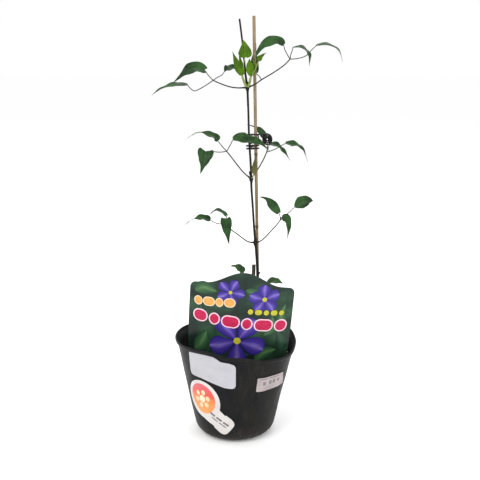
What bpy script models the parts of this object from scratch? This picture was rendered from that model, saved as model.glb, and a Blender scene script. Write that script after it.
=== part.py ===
"""Young clematis in a plastic nursery pot, tied to one bamboo cane.

The scene is in metres. +Z is up, +X is the viewer's right and +Y points away from the viewer.
The origin is the centre of the pot's underside. Routes and outlines are written in millimetres,
and mm() turns them into metres.
"""

from math import asin, atan2, cos, exp, floor, hypot, pi, radians, sin, tan

import bmesh
import bpy
from mathutils import Matrix, Vector, noise

MM = 0.001
GAP = 0.3 * MM  # left between pieces that touch

# Pot
POT_HEIGHT = 118 * MM
RIM_RADIUS = 75 * MM
WALL_TOP_RADIUS = 73 * MM
WALL_SLOPE = tan(radians(12))
WALL = 1.3 * MM
FOOT_CORNER = 15 * MM
LIP_HEIGHT = 5 * MM
POT_STEPS = 44
DRAIN_HOLES = 8
DRAIN_RADIUS = 4.5 * MM
DRAIN_CIRCLE = 25 * MM
BEND_START = 30 * MM  # the soft wall is out of round above this height

# Lift of the soft rim in millimetres against azimuth in degrees, from the viewer's side towards the right
RIM_LIFT = ((-150, 3), (-110, 5), (-70, 5), (-30, 8), (5, 2.5), (35, -4), (62, -6.5), (90, 0), (118, 5),
            (165, 1))

# Soil
SOIL_LEVEL = 97 * MM
SOIL_STEPS = 24
SOIL_LUMP = 1.6 * MM

# Cane
CANE_FOOT = (31.7, 9.5, 16)
CANE_TOP = (22.2, 7.5, 506)
CANE_RADIUS = 1.85 * MM
CANE_RING = 0.35 * MM
CANE_NODES = (62, 148, 243, 331, 428)  # heights of its rings along its length, in millimetres

# Stems: routes in millimetres with a radius for each point
OLD_STEM = ((17.5, 2.5, 74), (19.5, 3.6, 110), (21.4, 4.8, 150), (22.6, 5.4, 186), (23.2, 5.4, 212))
OLD_STEM_RADII = (2.8, 2.6, 2.5, 2.3, 2.2)
OLD_NODE_LOW = (21.8, 5, 160)
OLD_NODE_HIGH = (22.6, 5.4, 188)
OLD_NODE_RADIUS = 3.4 * MM
OLD_NODE_STRETCH = 1.1  # height of a node over its width
STEM = ((27.1, 3.9, 189), (27.8, 2.8, 195), (27.9, 2.2, 203), (27, 2.2, 219), (25.8, 2.3, 233),
        (24.9, 2.5, 241), (23.4, 2.7, 259), (21.5, 3, 287), (20.1, 3, 306), (19.7, 3, 318.5),
        (19.2, 3.2, 333), (18.1, 3.5, 350), (16.9, 3.8, 370), (16.1, 3.6, 397), (15.3, 3.3, 416),
        (14.8, 3, 425.6), (12.6, 3.4, 441), (10.8, 4.4, 460), (8.9, 4.8, 478), (5.7, 5, 502.5))
STEM_RADII = (1.2, 1.6, 1.7, 1.6, 1.5, 1.4, 1.25, 1.2, 1.2, 1.25, 1.2, 1.15, 1.1, 1.1, 1.2, 1.3, 1.15, 1.05,
              1.0, 0.95)
NODE_UPPER = (14.8, 3, 425.6)
NODE_MIDDLE = (19.7, 3, 318.5)
NODE_LOWER = (24.9, 2.5, 240.5)
NODE_RADIUS = 2.6 * MM
NODE_STRETCH = 1.25
STEM_BUDS = (((19.4, 4.2, 320.4), (17, 6, 327.6)), ((28.1, 2.2, 200), (31.2, 1.2, 204)))
BUD_RADIUS = 0.9

# Leaves
PETIOLE_RADIUS = 0.75
STALK_RADIUS = 0.5
LEAF_THICKNESS = 0.7 * MM
LEAF_ROWS = 8
YOUNG_ROWS = 5
BASE_HALF_WIDTH = 0.9  # of a blade where its stalk meets it, in millimetres
TIP_HALF_WIDTH = 0.42
WAVES = 2.4  # along one edge of a blade
LEFT_WAVE = 3.4  # where the waves of the left edge start, and of the right edge
RIGHT_WAVE = 0.8
SUNK_SHARE = 0.3  # how much of a blade's rib its stalk runs along

# Wire tie
WIRE_RADIUS = 0.85 * MM
STEM_GIRTH = 1.2  # radius of the stem where the tie goes round it
WIRE_SPARE = 0.26  # for the corners that the steps of the route cut, in millimetres
WIRE_SLACK = 0.9  # how far the loops stand off the climbing stem
TIE_LOW = 354.6
TIE_TURN_GAP = 3.4
TIE_HIGH = 371.0
TIE_TURNS = 3.25
TIE_STEPS = 11  # in one turn
COIL_CENTRE = (38.6, 3.0, 365.2)
COIL_START = radians(140)
COIL_SIZE = (5.9, 1.0)  # from the outer turn to the inner one
COIL_TURNS = 2.6  # inward, and as many outward again behind them
COIL_LAYER = 2.05  # from the front turns to those behind
COIL_STRETCH = 1.2

# Picture card
CARD_WIDTH = 129 * MM
CARD_SHOULDER = 116.3 * MM
CARD_EDGE_DROP = 6.5 * MM
CARD_CREST = 15 * MM
CARD_CREST_REACH = 46 * MM
CARD_CREST_AT = 1.5 * MM
CARD_CORNER = 6.5 * MM
CARD_THICKNESS = 0.8 * MM
CARD_BEND = 137 * MM
CARD_FOOT = (1.7, -27.5, 86)
CARD_ROLL = radians(4.1)
CARD_LEAN = radians(8)

# Stickers: outlines as (azimuth in degrees, height in millimetres) on the pot before its rim was bent
STICKER_THICKNESS = 0.5 * MM
STICKER_FACET = 7  # degrees of the wall between its folds
TALL_STICKER = 40  # taller ones are also split at half height
NAME_STICKER = ((-50, 112.2), (-36, 112.4), (-20.5, 112.4), (-17, 110.8), (-14, 108.8), (-5, 109.4),
                (-0.6, 108.2), (1.2, 105), (1.2, 81), (-0.4, 77.8), (-4, 76.8), (-11, 76.8), (-26, 79.6),
                (-38, 82.3), (-50, 83.6), (-52.6, 85.4), (-53, 89))
PRICE_STICKER = ((24, 92.5), (38, 93.5), (57, 94.5), (58.5, 93.5), (64.5, 74.5), (43, 74), (25, 73.2),
                 (23.4, 74.2))
ROUND_HEAD = (-40, 55)
ROUND_HEAD_RADIUS = 24.0
ROUND_HEAD_ARC = (-20, 262)  # degrees, anticlockwise from the right
ROUND_TAB = ((-29, 22), (-19, 14), (-14.4, 12.8), (-10, 14.6), (-3.7, 22), (-0.6, 26.5), (-0.6, 30.5),
             (-3.4, 35), (-10.7, 41))


def mm(point):
    return Vector(point) * MM


def smoothstep(value):
    value = min(max(value, 0.0), 1.0)
    return value * value * (3 - 2 * value)


# Scene helpers

def clear_scene():
    for obj in list(bpy.data.objects):
        bpy.data.objects.remove(obj, do_unlink=True)


def new_collection(name):
    made = bpy.data.collections.new(name)
    bpy.context.scene.collection.children.link(made)
    return made


def paint(obj, colour, roughness):
    made = bpy.data.materials.new(obj.name)
    made.use_nodes = True
    shader = made.node_tree.nodes["Principled BSDF"]
    shader.inputs["Base Color"].default_value = (*colour, 1)
    shader.inputs["Roughness"].default_value = roughness
    shader.inputs["Metallic"].default_value = 0.0
    made.diffuse_color = (*colour, 1)
    obj.data.materials.clear()
    obj.data.materials.append(made)


def add_object(name, data, collection):
    obj = bpy.data.objects.new(name, data)
    collection.objects.link(obj)
    return obj


def mesh_object(name, bm, collection):
    mesh = bpy.data.meshes.new(name)
    bm.to_mesh(mesh)
    bm.free()
    return add_object(name, mesh, collection)


def baked(obj):
    """The object's mesh as its modifiers leave it, with the caps of a curve welded to its sides."""
    graph = bpy.context.evaluated_depsgraph_get()
    mesh = bpy.data.meshes.new_from_object(obj.evaluated_get(graph))
    bm = bmesh.new()
    bm.from_mesh(mesh)
    bmesh.ops.remove_doubles(bm, verts=bm.verts, dist=0.001 * MM)
    bm.to_mesh(mesh)
    bm.free()
    return mesh


def apply_modifiers(obj):
    mesh = baked(obj)
    obj.modifiers.clear()
    obj.data = mesh


def smooth(obj, angle=50):
    obj.data.shade_smooth()
    obj.data.set_sharp_from_angle(angle=radians(angle))


def cut(obj, cutter):
    cutter.hide_render = True
    cutter.display_type = "WIRE"
    modifier = obj.modifiers.new("Cut " + cutter.name, "BOOLEAN")
    modifier.operation = "DIFFERENCE"
    modifier.solver = "EXACT"
    modifier.object = cutter


def fuse(obj, pieces, solver="EXACT"):
    """Joins the pieces to the object in one solid and removes them."""
    group = new_collection(obj.name + " pieces")
    for piece in pieces:
        for held in piece.users_collection:
            held.objects.unlink(piece)
        group.objects.link(piece)
    modifier = obj.modifiers.new("Fuse", "BOOLEAN")
    modifier.operation = "UNION"
    modifier.solver = solver
    modifier.operand_type = "COLLECTION"
    modifier.collection = group
    apply_modifiers(obj)
    for piece in pieces:
        bpy.data.objects.remove(piece, do_unlink=True)
    bpy.data.collections.remove(group)


# Curves

def spline_point(points, at):
    """A point on the Catmull-Rom curve through the points, at from 0 to 1."""
    spans = len(points) - 1
    place = min(max(at, 0.0), 1.0) * spans
    index = min(floor(place), spans - 1)
    share = place - index
    second, third = points[index], points[index + 1]
    first = points[index - 1] if index else second * 2 - third
    fourth = points[index + 2] if index + 2 <= spans else third * 2 - second
    return 0.5 * (2 * second + (third - first) * share
                  + (2 * first - 5 * second + 4 * third - fourth) * share ** 2
                  + (3 * second - first - 3 * third + fourth) * share ** 3)


def between(values, at):
    place = min(max(at, 0.0), 1.0) * (len(values) - 1)
    index = min(floor(place), len(values) - 2)
    return values[index] + (values[index + 1] - values[index]) * (place - index)


def tube(name, points, radii, collection, sides=8, per_span=3, smoothed=True):
    """A round rod along the route, in millimetres, with a radius that runs through radii."""
    route = [Vector(point) for point in points]
    if smoothed:
        count = (len(route) - 1) * per_span
        route = [spline_point(route, index / count) for index in range(count + 1)]
    curve = bpy.data.curves.new(name, "CURVE")
    curve.dimensions = "3D"
    curve.bevel_depth = MM
    curve.bevel_resolution = sides // 2 - 2
    curve.use_fill_caps = True
    spline = curve.splines.new("POLY")
    spline.points.add(len(route) - 1)
    for index, (place, spline_vertex) in enumerate(zip(route, spline.points)):
        spline_vertex.co = (*(place * MM), 1)
        spline_vertex.radius = between(radii, index / (len(route) - 1))
    guide = add_object(name, curve, collection)
    mesh = baked(guide)
    bpy.data.objects.remove(guide, do_unlink=True)
    return add_object(name, mesh, collection)


def ball(name, centre, radius, stretch, collection):
    bm = bmesh.new()
    bmesh.ops.create_uvsphere(bm, u_segments=10, v_segments=7, radius=radius)
    bmesh.ops.scale(bm, verts=bm.verts, vec=(1, 1, stretch))
    bmesh.ops.translate(bm, verts=bm.verts, vec=mm(centre))
    return mesh_object(name, bm, collection)


# Pot

def rim_lift(azimuth):
    """Smooth lift of the rim at an azimuth in radians, from the heights in RIM_LIFT."""
    degrees_round = (azimuth * 180 / pi + 180) % 360 - 180
    first, last = RIM_LIFT[0], RIM_LIFT[-1]
    stops = [(last[0] - 360, last[1])] + list(RIM_LIFT) + [(first[0] + 360, first[1])]
    for (start, low), (end, high) in zip(stops, stops[1:]):
        if start <= degrees_round <= end:
            return (low + (high - low) * smoothstep((degrees_round - start) / (end - start))) * MM
    return 0.0


def rim_bulge(azimuth):
    """How far the rim stands out of round: squarer on the right, pressed in at the front left."""
    return (1.3 * sin(azimuth - radians(45)) + 1.0 * cos(2 * (azimuth - pi / 2)) - 0.4) * MM


def bend_share(height):
    return smoothstep((height - BEND_START) / (POT_HEIGHT - BEND_START))


def bent(radius, azimuth, height):
    """The place of a point of the straight pot after its soft upper wall has bent."""
    share = bend_share(height)
    radius += share * rim_bulge(azimuth) * min(radius / RIM_RADIUS, 1)
    return Vector((radius * sin(azimuth), -radius * cos(azimuth), height + share * rim_lift(azimuth)))


def foot_radius():
    """Radius of the flat underside, where the rounded corner starts."""
    return WALL_TOP_RADIUS - (POT_HEIGHT - FOOT_CORNER) * WALL_SLOPE - FOOT_CORNER * hypot(1, WALL_SLOPE)


def wall_radius(height):
    """Outer radius of the straight wall, below the lip."""
    if height < FOOT_CORNER * (1 - WALL_SLOPE / hypot(1, WALL_SLOPE)):
        return foot_radius() + (FOOT_CORNER ** 2 - (FOOT_CORNER - height) ** 2) ** 0.5
    return WALL_TOP_RADIUS - (POT_HEIGHT - height) * WALL_SLOPE


def pot_profile():
    """(radius, height) from the middle of the inner floor, up inside, over the lip and down outside."""
    centre = foot_radius()
    arc_end = -asin(WALL_SLOPE / hypot(1, WALL_SLOPE))
    arc = [-pi / 2 + (arc_end + pi / 2) * step / 4 for step in range(5)]
    inner = [(centre + (FOOT_CORNER - WALL) * cos(a), FOOT_CORNER + (FOOT_CORNER - WALL) * sin(a)) for a in arc]
    outer = [(centre + FOOT_CORNER * cos(a), FOOT_CORNER + FOOT_CORNER * sin(a)) for a in arc]
    lip_base = POT_HEIGHT - LIP_HEIGHT
    heights = [FOOT_CORNER + (lip_base - FOOT_CORNER) * step / 3 for step in range(1, 4)]
    wall_in = [(wall_radius(height) - WALL, height) for height in heights]
    wall_out = [(wall_radius(height), height) for height in heights]
    lip = [(RIM_RADIUS - 2.3 * MM, POT_HEIGHT - 2.6 * MM), (RIM_RADIUS - 1.9 * MM, POT_HEIGHT - 0.5 * MM),
           (RIM_RADIUS - 1.1 * MM, POT_HEIGHT), (RIM_RADIUS - 0.3 * MM, POT_HEIGHT - 0.4 * MM),
           (RIM_RADIUS, POT_HEIGHT - 1.3 * MM), (RIM_RADIUS - 0.6 * MM, lip_base + 0.9 * MM),
           (RIM_RADIUS - 1.5 * MM, lip_base)]
    return [(0, WALL)] + inner + wall_in + lip + wall_out[::-1] + outer[::-1] + [(0, 0)]


def turned(name, profile, steps, collection):
    bm = bmesh.new()
    verts = [bm.verts.new((radius, 0, height)) for radius, height in profile]
    for first, second in zip(verts, verts[1:]):
        bm.edges.new((first, second))
    obj = mesh_object(name, bm, collection)
    screw = obj.modifiers.new("Turn", "SCREW")
    screw.axis = "Z"
    screw.steps = screw.render_steps = steps
    screw.use_merge_vertices = True
    screw.merge_threshold = 0.00001
    return obj


def bend_with_pot(obj):
    for vertex in obj.data.vertices:
        place = vertex.co
        vertex.co = bent(hypot(place.x, place.y), atan2(place.x, -place.y), place.z)


def make_pot(parts, cutters):
    pot = turned("pot", pot_profile(), POT_STEPS, parts)
    for index in range(DRAIN_HOLES):
        angle = 2 * pi * index / DRAIN_HOLES
        bm = bmesh.new()
        bmesh.ops.create_cone(bm, cap_ends=True, segments=12, radius1=DRAIN_RADIUS, radius2=DRAIN_RADIUS,
                              depth=8 * WALL)
        bmesh.ops.translate(bm, verts=bm.verts, vec=(DRAIN_CIRCLE * cos(angle), DRAIN_CIRCLE * sin(angle), 0))
        cut(pot, mesh_object(f"drain hole {index}", bm, cutters))
    apply_modifiers(pot)
    bend_with_pot(pot)
    smooth(pot, 35)
    paint(pot, (0.022, 0.022, 0.024), 0.5)


# Soil

def soil_relief(x, y):
    """Lumpy top of the potting mix, a little higher round the stem."""
    lumps = noise.noise(Vector((x, y, 0)) / (9 * MM)) + 0.5 * noise.noise(Vector((x, y, 0.02)) / (4 * MM))
    return SOIL_LUMP * lumps + 3 * MM * exp(-((x - 0.02) ** 2 + y ** 2) / (0.03 ** 2))


def make_soil(parts, cutters):
    inset = WALL + 2.4 * GAP
    floor_level = WALL + GAP
    edge = wall_radius(SOIL_LEVEL) - inset
    top = [(edge * step / 8, SOIL_LEVEL) for step in range(9)]
    side = [(wall_radius(height) - inset, height) for height in (80 * MM, 54 * MM, 28 * MM)]
    side += [(wall_radius(12 * MM) - 2.4 * MM, 12 * MM), (foot_radius() + 6.5 * MM, 4.2 * MM),
             (foot_radius() - 0.5 * MM, floor_level)]
    soil = turned("potting_soil", top + side + [(0, floor_level)], SOIL_STEPS, parts)
    apply_modifiers(soil)
    for vertex in soil.data.vertices:
        place = vertex.co
        azimuth = atan2(place.x, -place.y)
        share = bend_share(place.z)
        radius = hypot(place.x, place.y)
        outward = radius / wall_radius(place.z)
        shift = rim_bulge(azimuth) * wall_radius(place.z) / RIM_RADIUS - WALL_SLOPE * rim_lift(azimuth)
        level = place.z
        radius += share * shift * outward
        x, y = radius * sin(azimuth), -radius * cos(azimuth)
        if level > SOIL_LEVEL - MM:
            level += soil_relief(x, y)
        vertex.co = (x, y, level)
    spare = 1.3 * GAP
    cut(soil, cane_rod("cane hole", spare, cutters))
    foot = Vector(OLD_STEM[0]) - Vector((0, 0, spare / MM))
    radii = [radius + spare / MM for radius in OLD_STEM_RADII]
    cut(soil, tube("old stem hole", (foot,) + OLD_STEM[1:], radii, cutters, sides=10, per_span=2))
    cut(soil, card_sheet("card slot", CARD_THICKNESS + 2 * GAP, GAP, cutters))
    apply_modifiers(soil)
    smooth(soil, 60)
    paint(soil, (0.035, 0.024, 0.016), 0.95)


# Cane

def cane_rod(name, spare, collection):
    """The cane, turned about its own axis and stood between its foot and its top. spare makes it fatter."""
    foot, top = mm(CANE_FOOT), mm(CANE_TOP)
    length = (top - foot).length
    radius = CANE_RADIUS + spare
    start = -spare
    profile = [(0, length), (radius - 0.2 * MM, length), (radius, length - 0.3 * MM)]
    for height in reversed(CANE_NODES):
        along = height * MM
        profile += [(radius, along + 1.6 * MM), (radius + CANE_RING, along + 0.5 * MM),
                    (radius + CANE_RING * 0.8, along - 0.3 * MM), (radius - 0.1 * MM, along - 1.0 * MM)]
    profile += [(radius, start), (0, start)]
    rod = turned(name, profile, 10, collection)
    apply_modifiers(rod)
    turn = Vector((0, 0, 1)).rotation_difference(top - foot).to_matrix().to_4x4()
    rod.data.transform(Matrix.Translation(foot) @ turn)
    return rod


def make_cane(parts):
    cane = cane_rod("bamboo_cane", 0.0, parts)
    smooth(cane)
    paint(cane, (0.42, 0.29, 0.17), 0.6)


# Stems

def make_old_stem(parts):
    stem = tube("old_stem", OLD_STEM, OLD_STEM_RADII, parts, sides=10, per_span=2)
    centres = (OLD_NODE_LOW, OLD_NODE_HIGH)
    fuse(stem, [ball("node", centre, OLD_NODE_RADIUS, OLD_NODE_STRETCH, parts) for centre in centres])
    smooth(stem)
    paint(stem, (0.045, 0.042, 0.022), 0.8)


def make_stem(parts):
    stem = tube("climbing_stem", STEM, STEM_RADII, parts, sides=8, per_span=1)
    centres = (NODE_UPPER, NODE_MIDDLE, NODE_LOWER)
    pieces = [ball("node", centre, NODE_RADIUS, NODE_STRETCH, parts) for centre in centres]
    for root, tip in STEM_BUDS:
        pieces.append(tube("bud", (root, tip), (BUD_RADIUS, BUD_RADIUS, 0.25), parts, sides=6, per_span=4))
    fuse(stem, pieces)
    smooth(stem)
    paint(stem, (0.016, 0.011, 0.011), 0.55)


# Leaves

def blade_half_width(share, drip, belly):
    """Half width of an ovate blade with a drawn-out tip, as a share of its widest, at a share of its length."""
    body = sin(pi * min(share, 1) ** belly)
    return body * (1 - drip * smoothstep((share - 0.4) / 0.4))


def blade(name, leaflet, rows, collection):
    """One leaf blade: a sheet laid along its rib, folded at the rib, waved at its edges and made solid.

    The leaflet holds rib, the rib's points in millimetres; width; and face, the way its upper side looks.
    It may hold fold, wave, drip, lobe and belly, which is less where the blade is widest near its base.
    """
    rib = [Vector(point) for point in leaflet["rib"]]
    face = Vector(leaflet["face"]).normalized()
    half = leaflet["width"] / 2
    fold = leaflet.get("fold", 0.25)
    wave = leaflet.get("wave", 0.09) * leaflet["width"]
    drip = leaflet.get("drip", 0.3)
    belly = leaflet.get("belly", 0.55)
    lobe = leaflet.get("lobe", 0.06) * (rib[-1] - rib[0]).length
    across = (-1.0, -0.55, 0.0, 0.55, 1.0)
    bm = bmesh.new()
    grid = []
    for row in range(rows + 1):
        share = (row / rows) ** 1.15
        centre = spline_point(rib, share)
        along = (spline_point(rib, share + 0.03) - spline_point(rib, share - 0.03)).normalized()
        up = (face - along * face.dot(along)).normalized()
        side = along.cross(up)
        least = TIP_HALF_WIDTH if row else BASE_HALF_WIDTH
        reach = max(half * blade_half_width(share, drip, belly), least)
        line = []
        for place in across:
            out = abs(place)
            start = RIGHT_WAVE if place > 0 else LEFT_WAVE
            rise = fold * reach * (out - 0.4)
            rise += wave * sin(2 * pi * WAVES * share + start) * out ** 2 * sin(pi * share)
            back = lobe * max(1 - share / 0.3, 0) ** 2 * out ** 1.5
            point = centre + side * place * reach + up * rise - along * back
            line.append(bm.verts.new(point * MM))
        grid.append(line)
    for lower, upper in zip(grid, grid[1:]):
        for index in range(len(across) - 1):
            bm.faces.new((lower[index], lower[index + 1], upper[index + 1], upper[index]))
    bmesh.ops.triangulate(bm, faces=bm.faces, quad_method="FIXED")
    obj = mesh_object(name, bm, collection)
    solid = obj.modifiers.new("Thickness", "SOLIDIFY")
    solid.thickness = LEAF_THICKNESS
    solid.offset = 0
    apply_modifiers(obj)
    return obj


def leaflet_pieces(leaflet, rows, collection):
    """A blade and the stalk that carries it and runs on, sunk, along its rib."""
    rib = [Vector(point) for point in leaflet["rib"]]
    route = [Vector(point) for point in leaflet["stalk"]]
    sunk = [spline_point(rib, SUNK_SHARE * step / 2) for step in range(3)]
    radius = leaflet.get("stalk_radius", STALK_RADIUS)
    stalk = tube("stalk", route + sunk, (radius * 1.1, radius, radius, 0.26), collection, sides=6, per_span=1)
    return [blade("blade", leaflet, rows, collection), stalk]


def seated(node, radius, stretch, toward):
    """Where a petiole starts, just clear of the node that bears it, in millimetres."""
    node, toward = Vector(node), Vector(toward)
    away = (toward - node).normalized()
    reach = radius / hypot(away.x, away.y, away.z / stretch)
    return node + away * (reach + 1.1 * GAP) / MM


def make_leaf(name, petiole, leaflets, parts, colour, radius, root, rows):
    leaf = tube(name, petiole, (root, radius, radius, radius * 0.85), parts, sides=6, per_span=2)
    pieces = []
    for leaflet in leaflets:
        pieces += leaflet_pieces(leaflet, rows, parts)
    fuse(leaf, pieces)
    smooth(leaf, 60)
    paint(leaf, colour, 0.35)


MATURE = {"colour": (0.045, 0.115, 0.045), "radius": PETIOLE_RADIUS, "root": 1.1,
          "rows": LEAF_ROWS}
YOUNG = {"colour": (0.12, 0.30, 0.015), "radius": 1.4, "root": 1.0, "rows": YOUNG_ROWS}
OLIVE = {"colour": (0.13, 0.16, 0.05), "radius": 0.7, "root": 0.8, "rows": YOUNG_ROWS}

UPPER_LEFT_PETIOLE = ((4, -1, 425.3), (-5.6, -3, 426.6), (-16.7, -5, 430.4), (-25.3, -6, 434.3))
UPPER_LEFT = (
    {"stalk": ((-24.4, -5.9, 433.9), (-29.1, -7.4, 438.6), (-32.4, -8.8, 443)),
     "rib": ((-34, -9.5, 445.9), (-40.3, -11.5, 448.2), (-46.5, -13.5, 448), (-52.3, -15.5, 445.1),
             (-57.9, -17.2, 441), (-63.2, -18.8, 436.5), (-69.9, -20, 431)),
     "width": 17, "face": (-0.1, -0.72, 0.66), "lobe": 0.12, "drip": 0.3, "wave": 0.04},
    {"stalk": ((-24.4, -5.9, 433.9), (-31.8, -7, 429), (-38.9, -8, 424.9), (-45.9, -9, 422.1),
               (-50.5, -9.8, 424.9)),
     "rib": ((-53.5, -10.5, 429), (-60.5, -12.5, 429.3), (-67.7, -14.5, 429), (-75.8, -16.5, 427.6),
             (-84.5, -18, 424.7), (-93.9, -19, 417.5)),
     "width": 14.5, "face": (-0.1, -0.3, 0.95), "drip": 0.3, "lobe": 0.05, "belly": 0.62},
    {"stalk": ((-24.4, -5.9, 433.9), (-20.9, -4, 436.5), (-15, -2, 439.6)),
     "rib": ((-11.9, 0, 443.8), (-7.6, 4, 447.3), (-1.1, 9, 448.6), (8, 13, 448.9)),
     "width": 11.5, "face": (0, -0.6, 0.8), "lobe": 0, "belly": 0.95, "drip": 0.1},
)
UPPER_RIGHT_PETIOLE = ((23.7, 1, 429.3), (31.4, 2, 434.6), (47, 4.5, 443.7), (58.7, 6.5, 452), (64.8, 8, 458.4))
UPPER_RIGHT = (
    {"stalk": ((64.2, 7.8, 457.7), (60.6, 7.2, 463.5), (57.8, 6.6, 468.8)),
     "rib": ((56.7, 6, 474.2), (51.4, 5.2, 478.2), (42.8, 3.5, 478.1), (34, 1.4, 473.9), (28, 0, 467.2),
             (23.8, -1, 459)),
     "width": 12.8, "face": (0, -0.82, 0.57), "lobe": 0.06, "drip": 0.1, "belly": 0.65},
    {"stalk": ((64.2, 7.8, 457.7), (65.4, 9.5, 463.4), (67.2, 10.6, 468.4)),
     "rib": ((67.6, 11, 471.5), (73.8, 10.5, 472), (79.9, 9.5, 470.4), (84.9, 8.4, 465.9), (86.6, 7.2, 459.4),
             (86.7, 6, 450)),
     "width": 11.5, "face": (0.7, -0.3, 0.65), "lobe": 0.02, "drip": 0.1, "belly": 1.05},
    {"stalk": ((64.2, 7.8, 457.7), (73, 10, 458.4), (82.6, 13, 461.3), (89.8, 15.2, 468.3)),
     "rib": ((95.1, 16, 473.6), (102.3, 16, 474.8), (109.8, 15.8, 474.5), (117, 15.4, 471.6),
             (122.7, 14.8, 466.3), (126, 14, 455)),
     "width": 10, "face": (0.6, -0.2, 0.75), "lobe": 0.04, "drip": 0.2, "belly": 0.68, "wave": 0.05},
    {"stalk": ((31.2, 2, 434.5), (28.9, 7.5, 438.1), (26.2, 12.6, 440.6)),
     "rib": ((24.8, 13.8, 442.6), (23.4, 14.2, 452.2), (23.5, 14.4, 463.6), (25, 14.6, 476)),
     "width": 9.5, "face": (0.2, -0.9, 0.2), "drip": 0.2},
)
MIDDLE_LEFT_PETIOLE = ((11.4, -2.2, 326.2), (6.7, -5, 331.8), (-3.4, -11, 345.7), (-9.8, -15, 354.3))
MIDDLE_LEFT = (
    {"stalk": ((-9.2, -14.6, 353.5), (-14, -15.4, 358.8), (-17.5, -16.4, 363.4)),
     "rib": ((-18.9, -17, 366.1), (-22, -17.8, 370.5), (-27.8, -18.6, 372.9), (-35.5, -19.3, 375.4),
             (-43.7, -19.8, 375.5), (-55, -20, 368.7)),
     "width": 11, "face": (-0.2, -0.5, 0.82), "drip": 0.8, "lobe": 0.02, "belly": 0.52, "wave": 0.06},
    {"stalk": ((-9.2, -14.6, 353.5), (-15.6, -15.8, 352.7), (-21.5, -16.8, 353), (-28.2, -18, 354)),
     "rib": ((-33, -18.5, 353.6), (-34.7, -20, 345.6), (-36.8, -22, 337), (-39.6, -24, 328.1)),
     "width": 18.8, "face": (-0.1, -0.97, 0.15), "drip": 0.15, "belly": 0.3, "lobe": 0.15, "fold": 0.15},
    {"stalk": ((-9.2, -14.6, 353.5), (-6.4, -15.5, 358.3), (-3.4, -14.8, 363.8)),
     "rib": ((-1.6, -14, 367.7), (5.7, -13, 369.2), (14.2, -12, 367.6), (22.7, -11.4, 366), (31.2, -10.4, 362),
             (41.3, -9, 353)),
     "width": 13, "face": (0.1, -0.78, 0.62), "drip": 0, "lobe": 0.04, "belly": 0.62, "wave": 0.12},
)
MIDDLE_RIGHT_PETIOLE = ((22.6, 11.5, 321.5), (27.6, 14, 328.4), (34.1, 15.5, 339.5), (38.7, 16, 349.9))
MIDDLE_RIGHT = (
    {"stalk": ((38.3, 16, 349.2), (39.7, 16.4, 352.6), (40.7, 16.8, 355.6)),
     "rib": ((41.6, 17, 358.2), (47.7, 16, 358.5), (54.2, 14.5, 355.1), (60, 13, 349), (66.6, 12, 339.5)),
     "width": 11.5, "face": (0.45, -0.4, 0.8), "drip": 0.05, "lobe": 0.03, "belly": 0.62},
    {"stalk": ((38.3, 16, 349.2), (43, 17.2, 350.4), (49.1, 18, 352.7), (56.6, 19, 357)),
     "rib": ((61.2, 20, 359.6), (68.4, 20, 358.9), (75.7, 19.6, 356.9), (82.7, 19, 351.7), (88.2, 18, 337.5)),
     "width": 11.5, "face": (0.4, -0.45, 0.8), "drip": 0.45, "lobe": 0.03, "belly": 0.58},
    {"stalk": ((38.3, 16, 349.2), (39.2, 15.6, 355.4), (38.2, 15.5, 361.3)),
     "rib": ((36.7, 15.5, 366.1), (32.8, 15.2, 372), (28, 14.8, 376.5), (22.5, 14.4, 379.8),
             (14.2, 14.2, 382.2)),
     "width": 9.5, "face": (-0.2, -0.6, 0.75), "drip": 0.5, "fold": 0.1, "wave": 0.05},
)
LOWER_LEFT_PETIOLE = (
    (16.5, 7, 240.6), (9.5, 10, 244.5), (2.5, 12.5, 249.4), (-5.1, 15.5, 254.4), (-11.5, 17, 262),
)
LOWER_LEFT = (
    {"stalk": ((-11, 16.9, 261.2), (-16.5, 17.6, 260.6), (-22.4, 18, 261.4), (-27.4, 18, 263.8)),
     "rib": ((-30, 18, 266), (-35.4, 17.4, 268), (-41.3, 16.6, 269.1), (-47.9, 15.6, 268.1),
             (-55.4, 14.2, 265.4), (-64.2, 13, 256)),
     "width": 10.5, "face": (-0.2, -0.55, 0.8), "drip": 0.85, "lobe": 0.02, "belly": 0.48},
    {"stalk": ((-11, 16.9, 261.2), (-10.5, 17.2, 265), (-10.2, 17, 268.4)),
     "rib": ((-10.6, 16.5, 271.6), (-14.8, 16.5, 275.3), (-21.1, 16, 278.5), (-26.2, 15, 277),
             (-31.6, 14, 271.7)),
     "width": 9.5, "face": (-0.2, -0.25, 0.95), "lobe": 0.16, "wave": 0.05, "drip": 0.3},
    {"stalk": ((-11, 16.9, 261.2), (-12.8, 17, 266), (-12.2, 14.6, 268.6)),
     "rib": ((-10.9, 11.5, 267.6), (-9.8, 9.8, 257.2), (-8.5, 8.6, 247), (-6.9, 8, 235.8)),
     "width": 14, "face": (-0.1, -0.95, 0.1), "lobe": 0.12, "drip": 0.1, "fold": 0.12, "belly": 0.34},
)
LOWER_RIGHT_PETIOLE = (
    (30.4, -1.4, 243), (36.4, -3.6, 248.4), (43.4, -6, 256.8), (49.6, -8.5, 264.4), (54.8, -10, 271.8),
)
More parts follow.
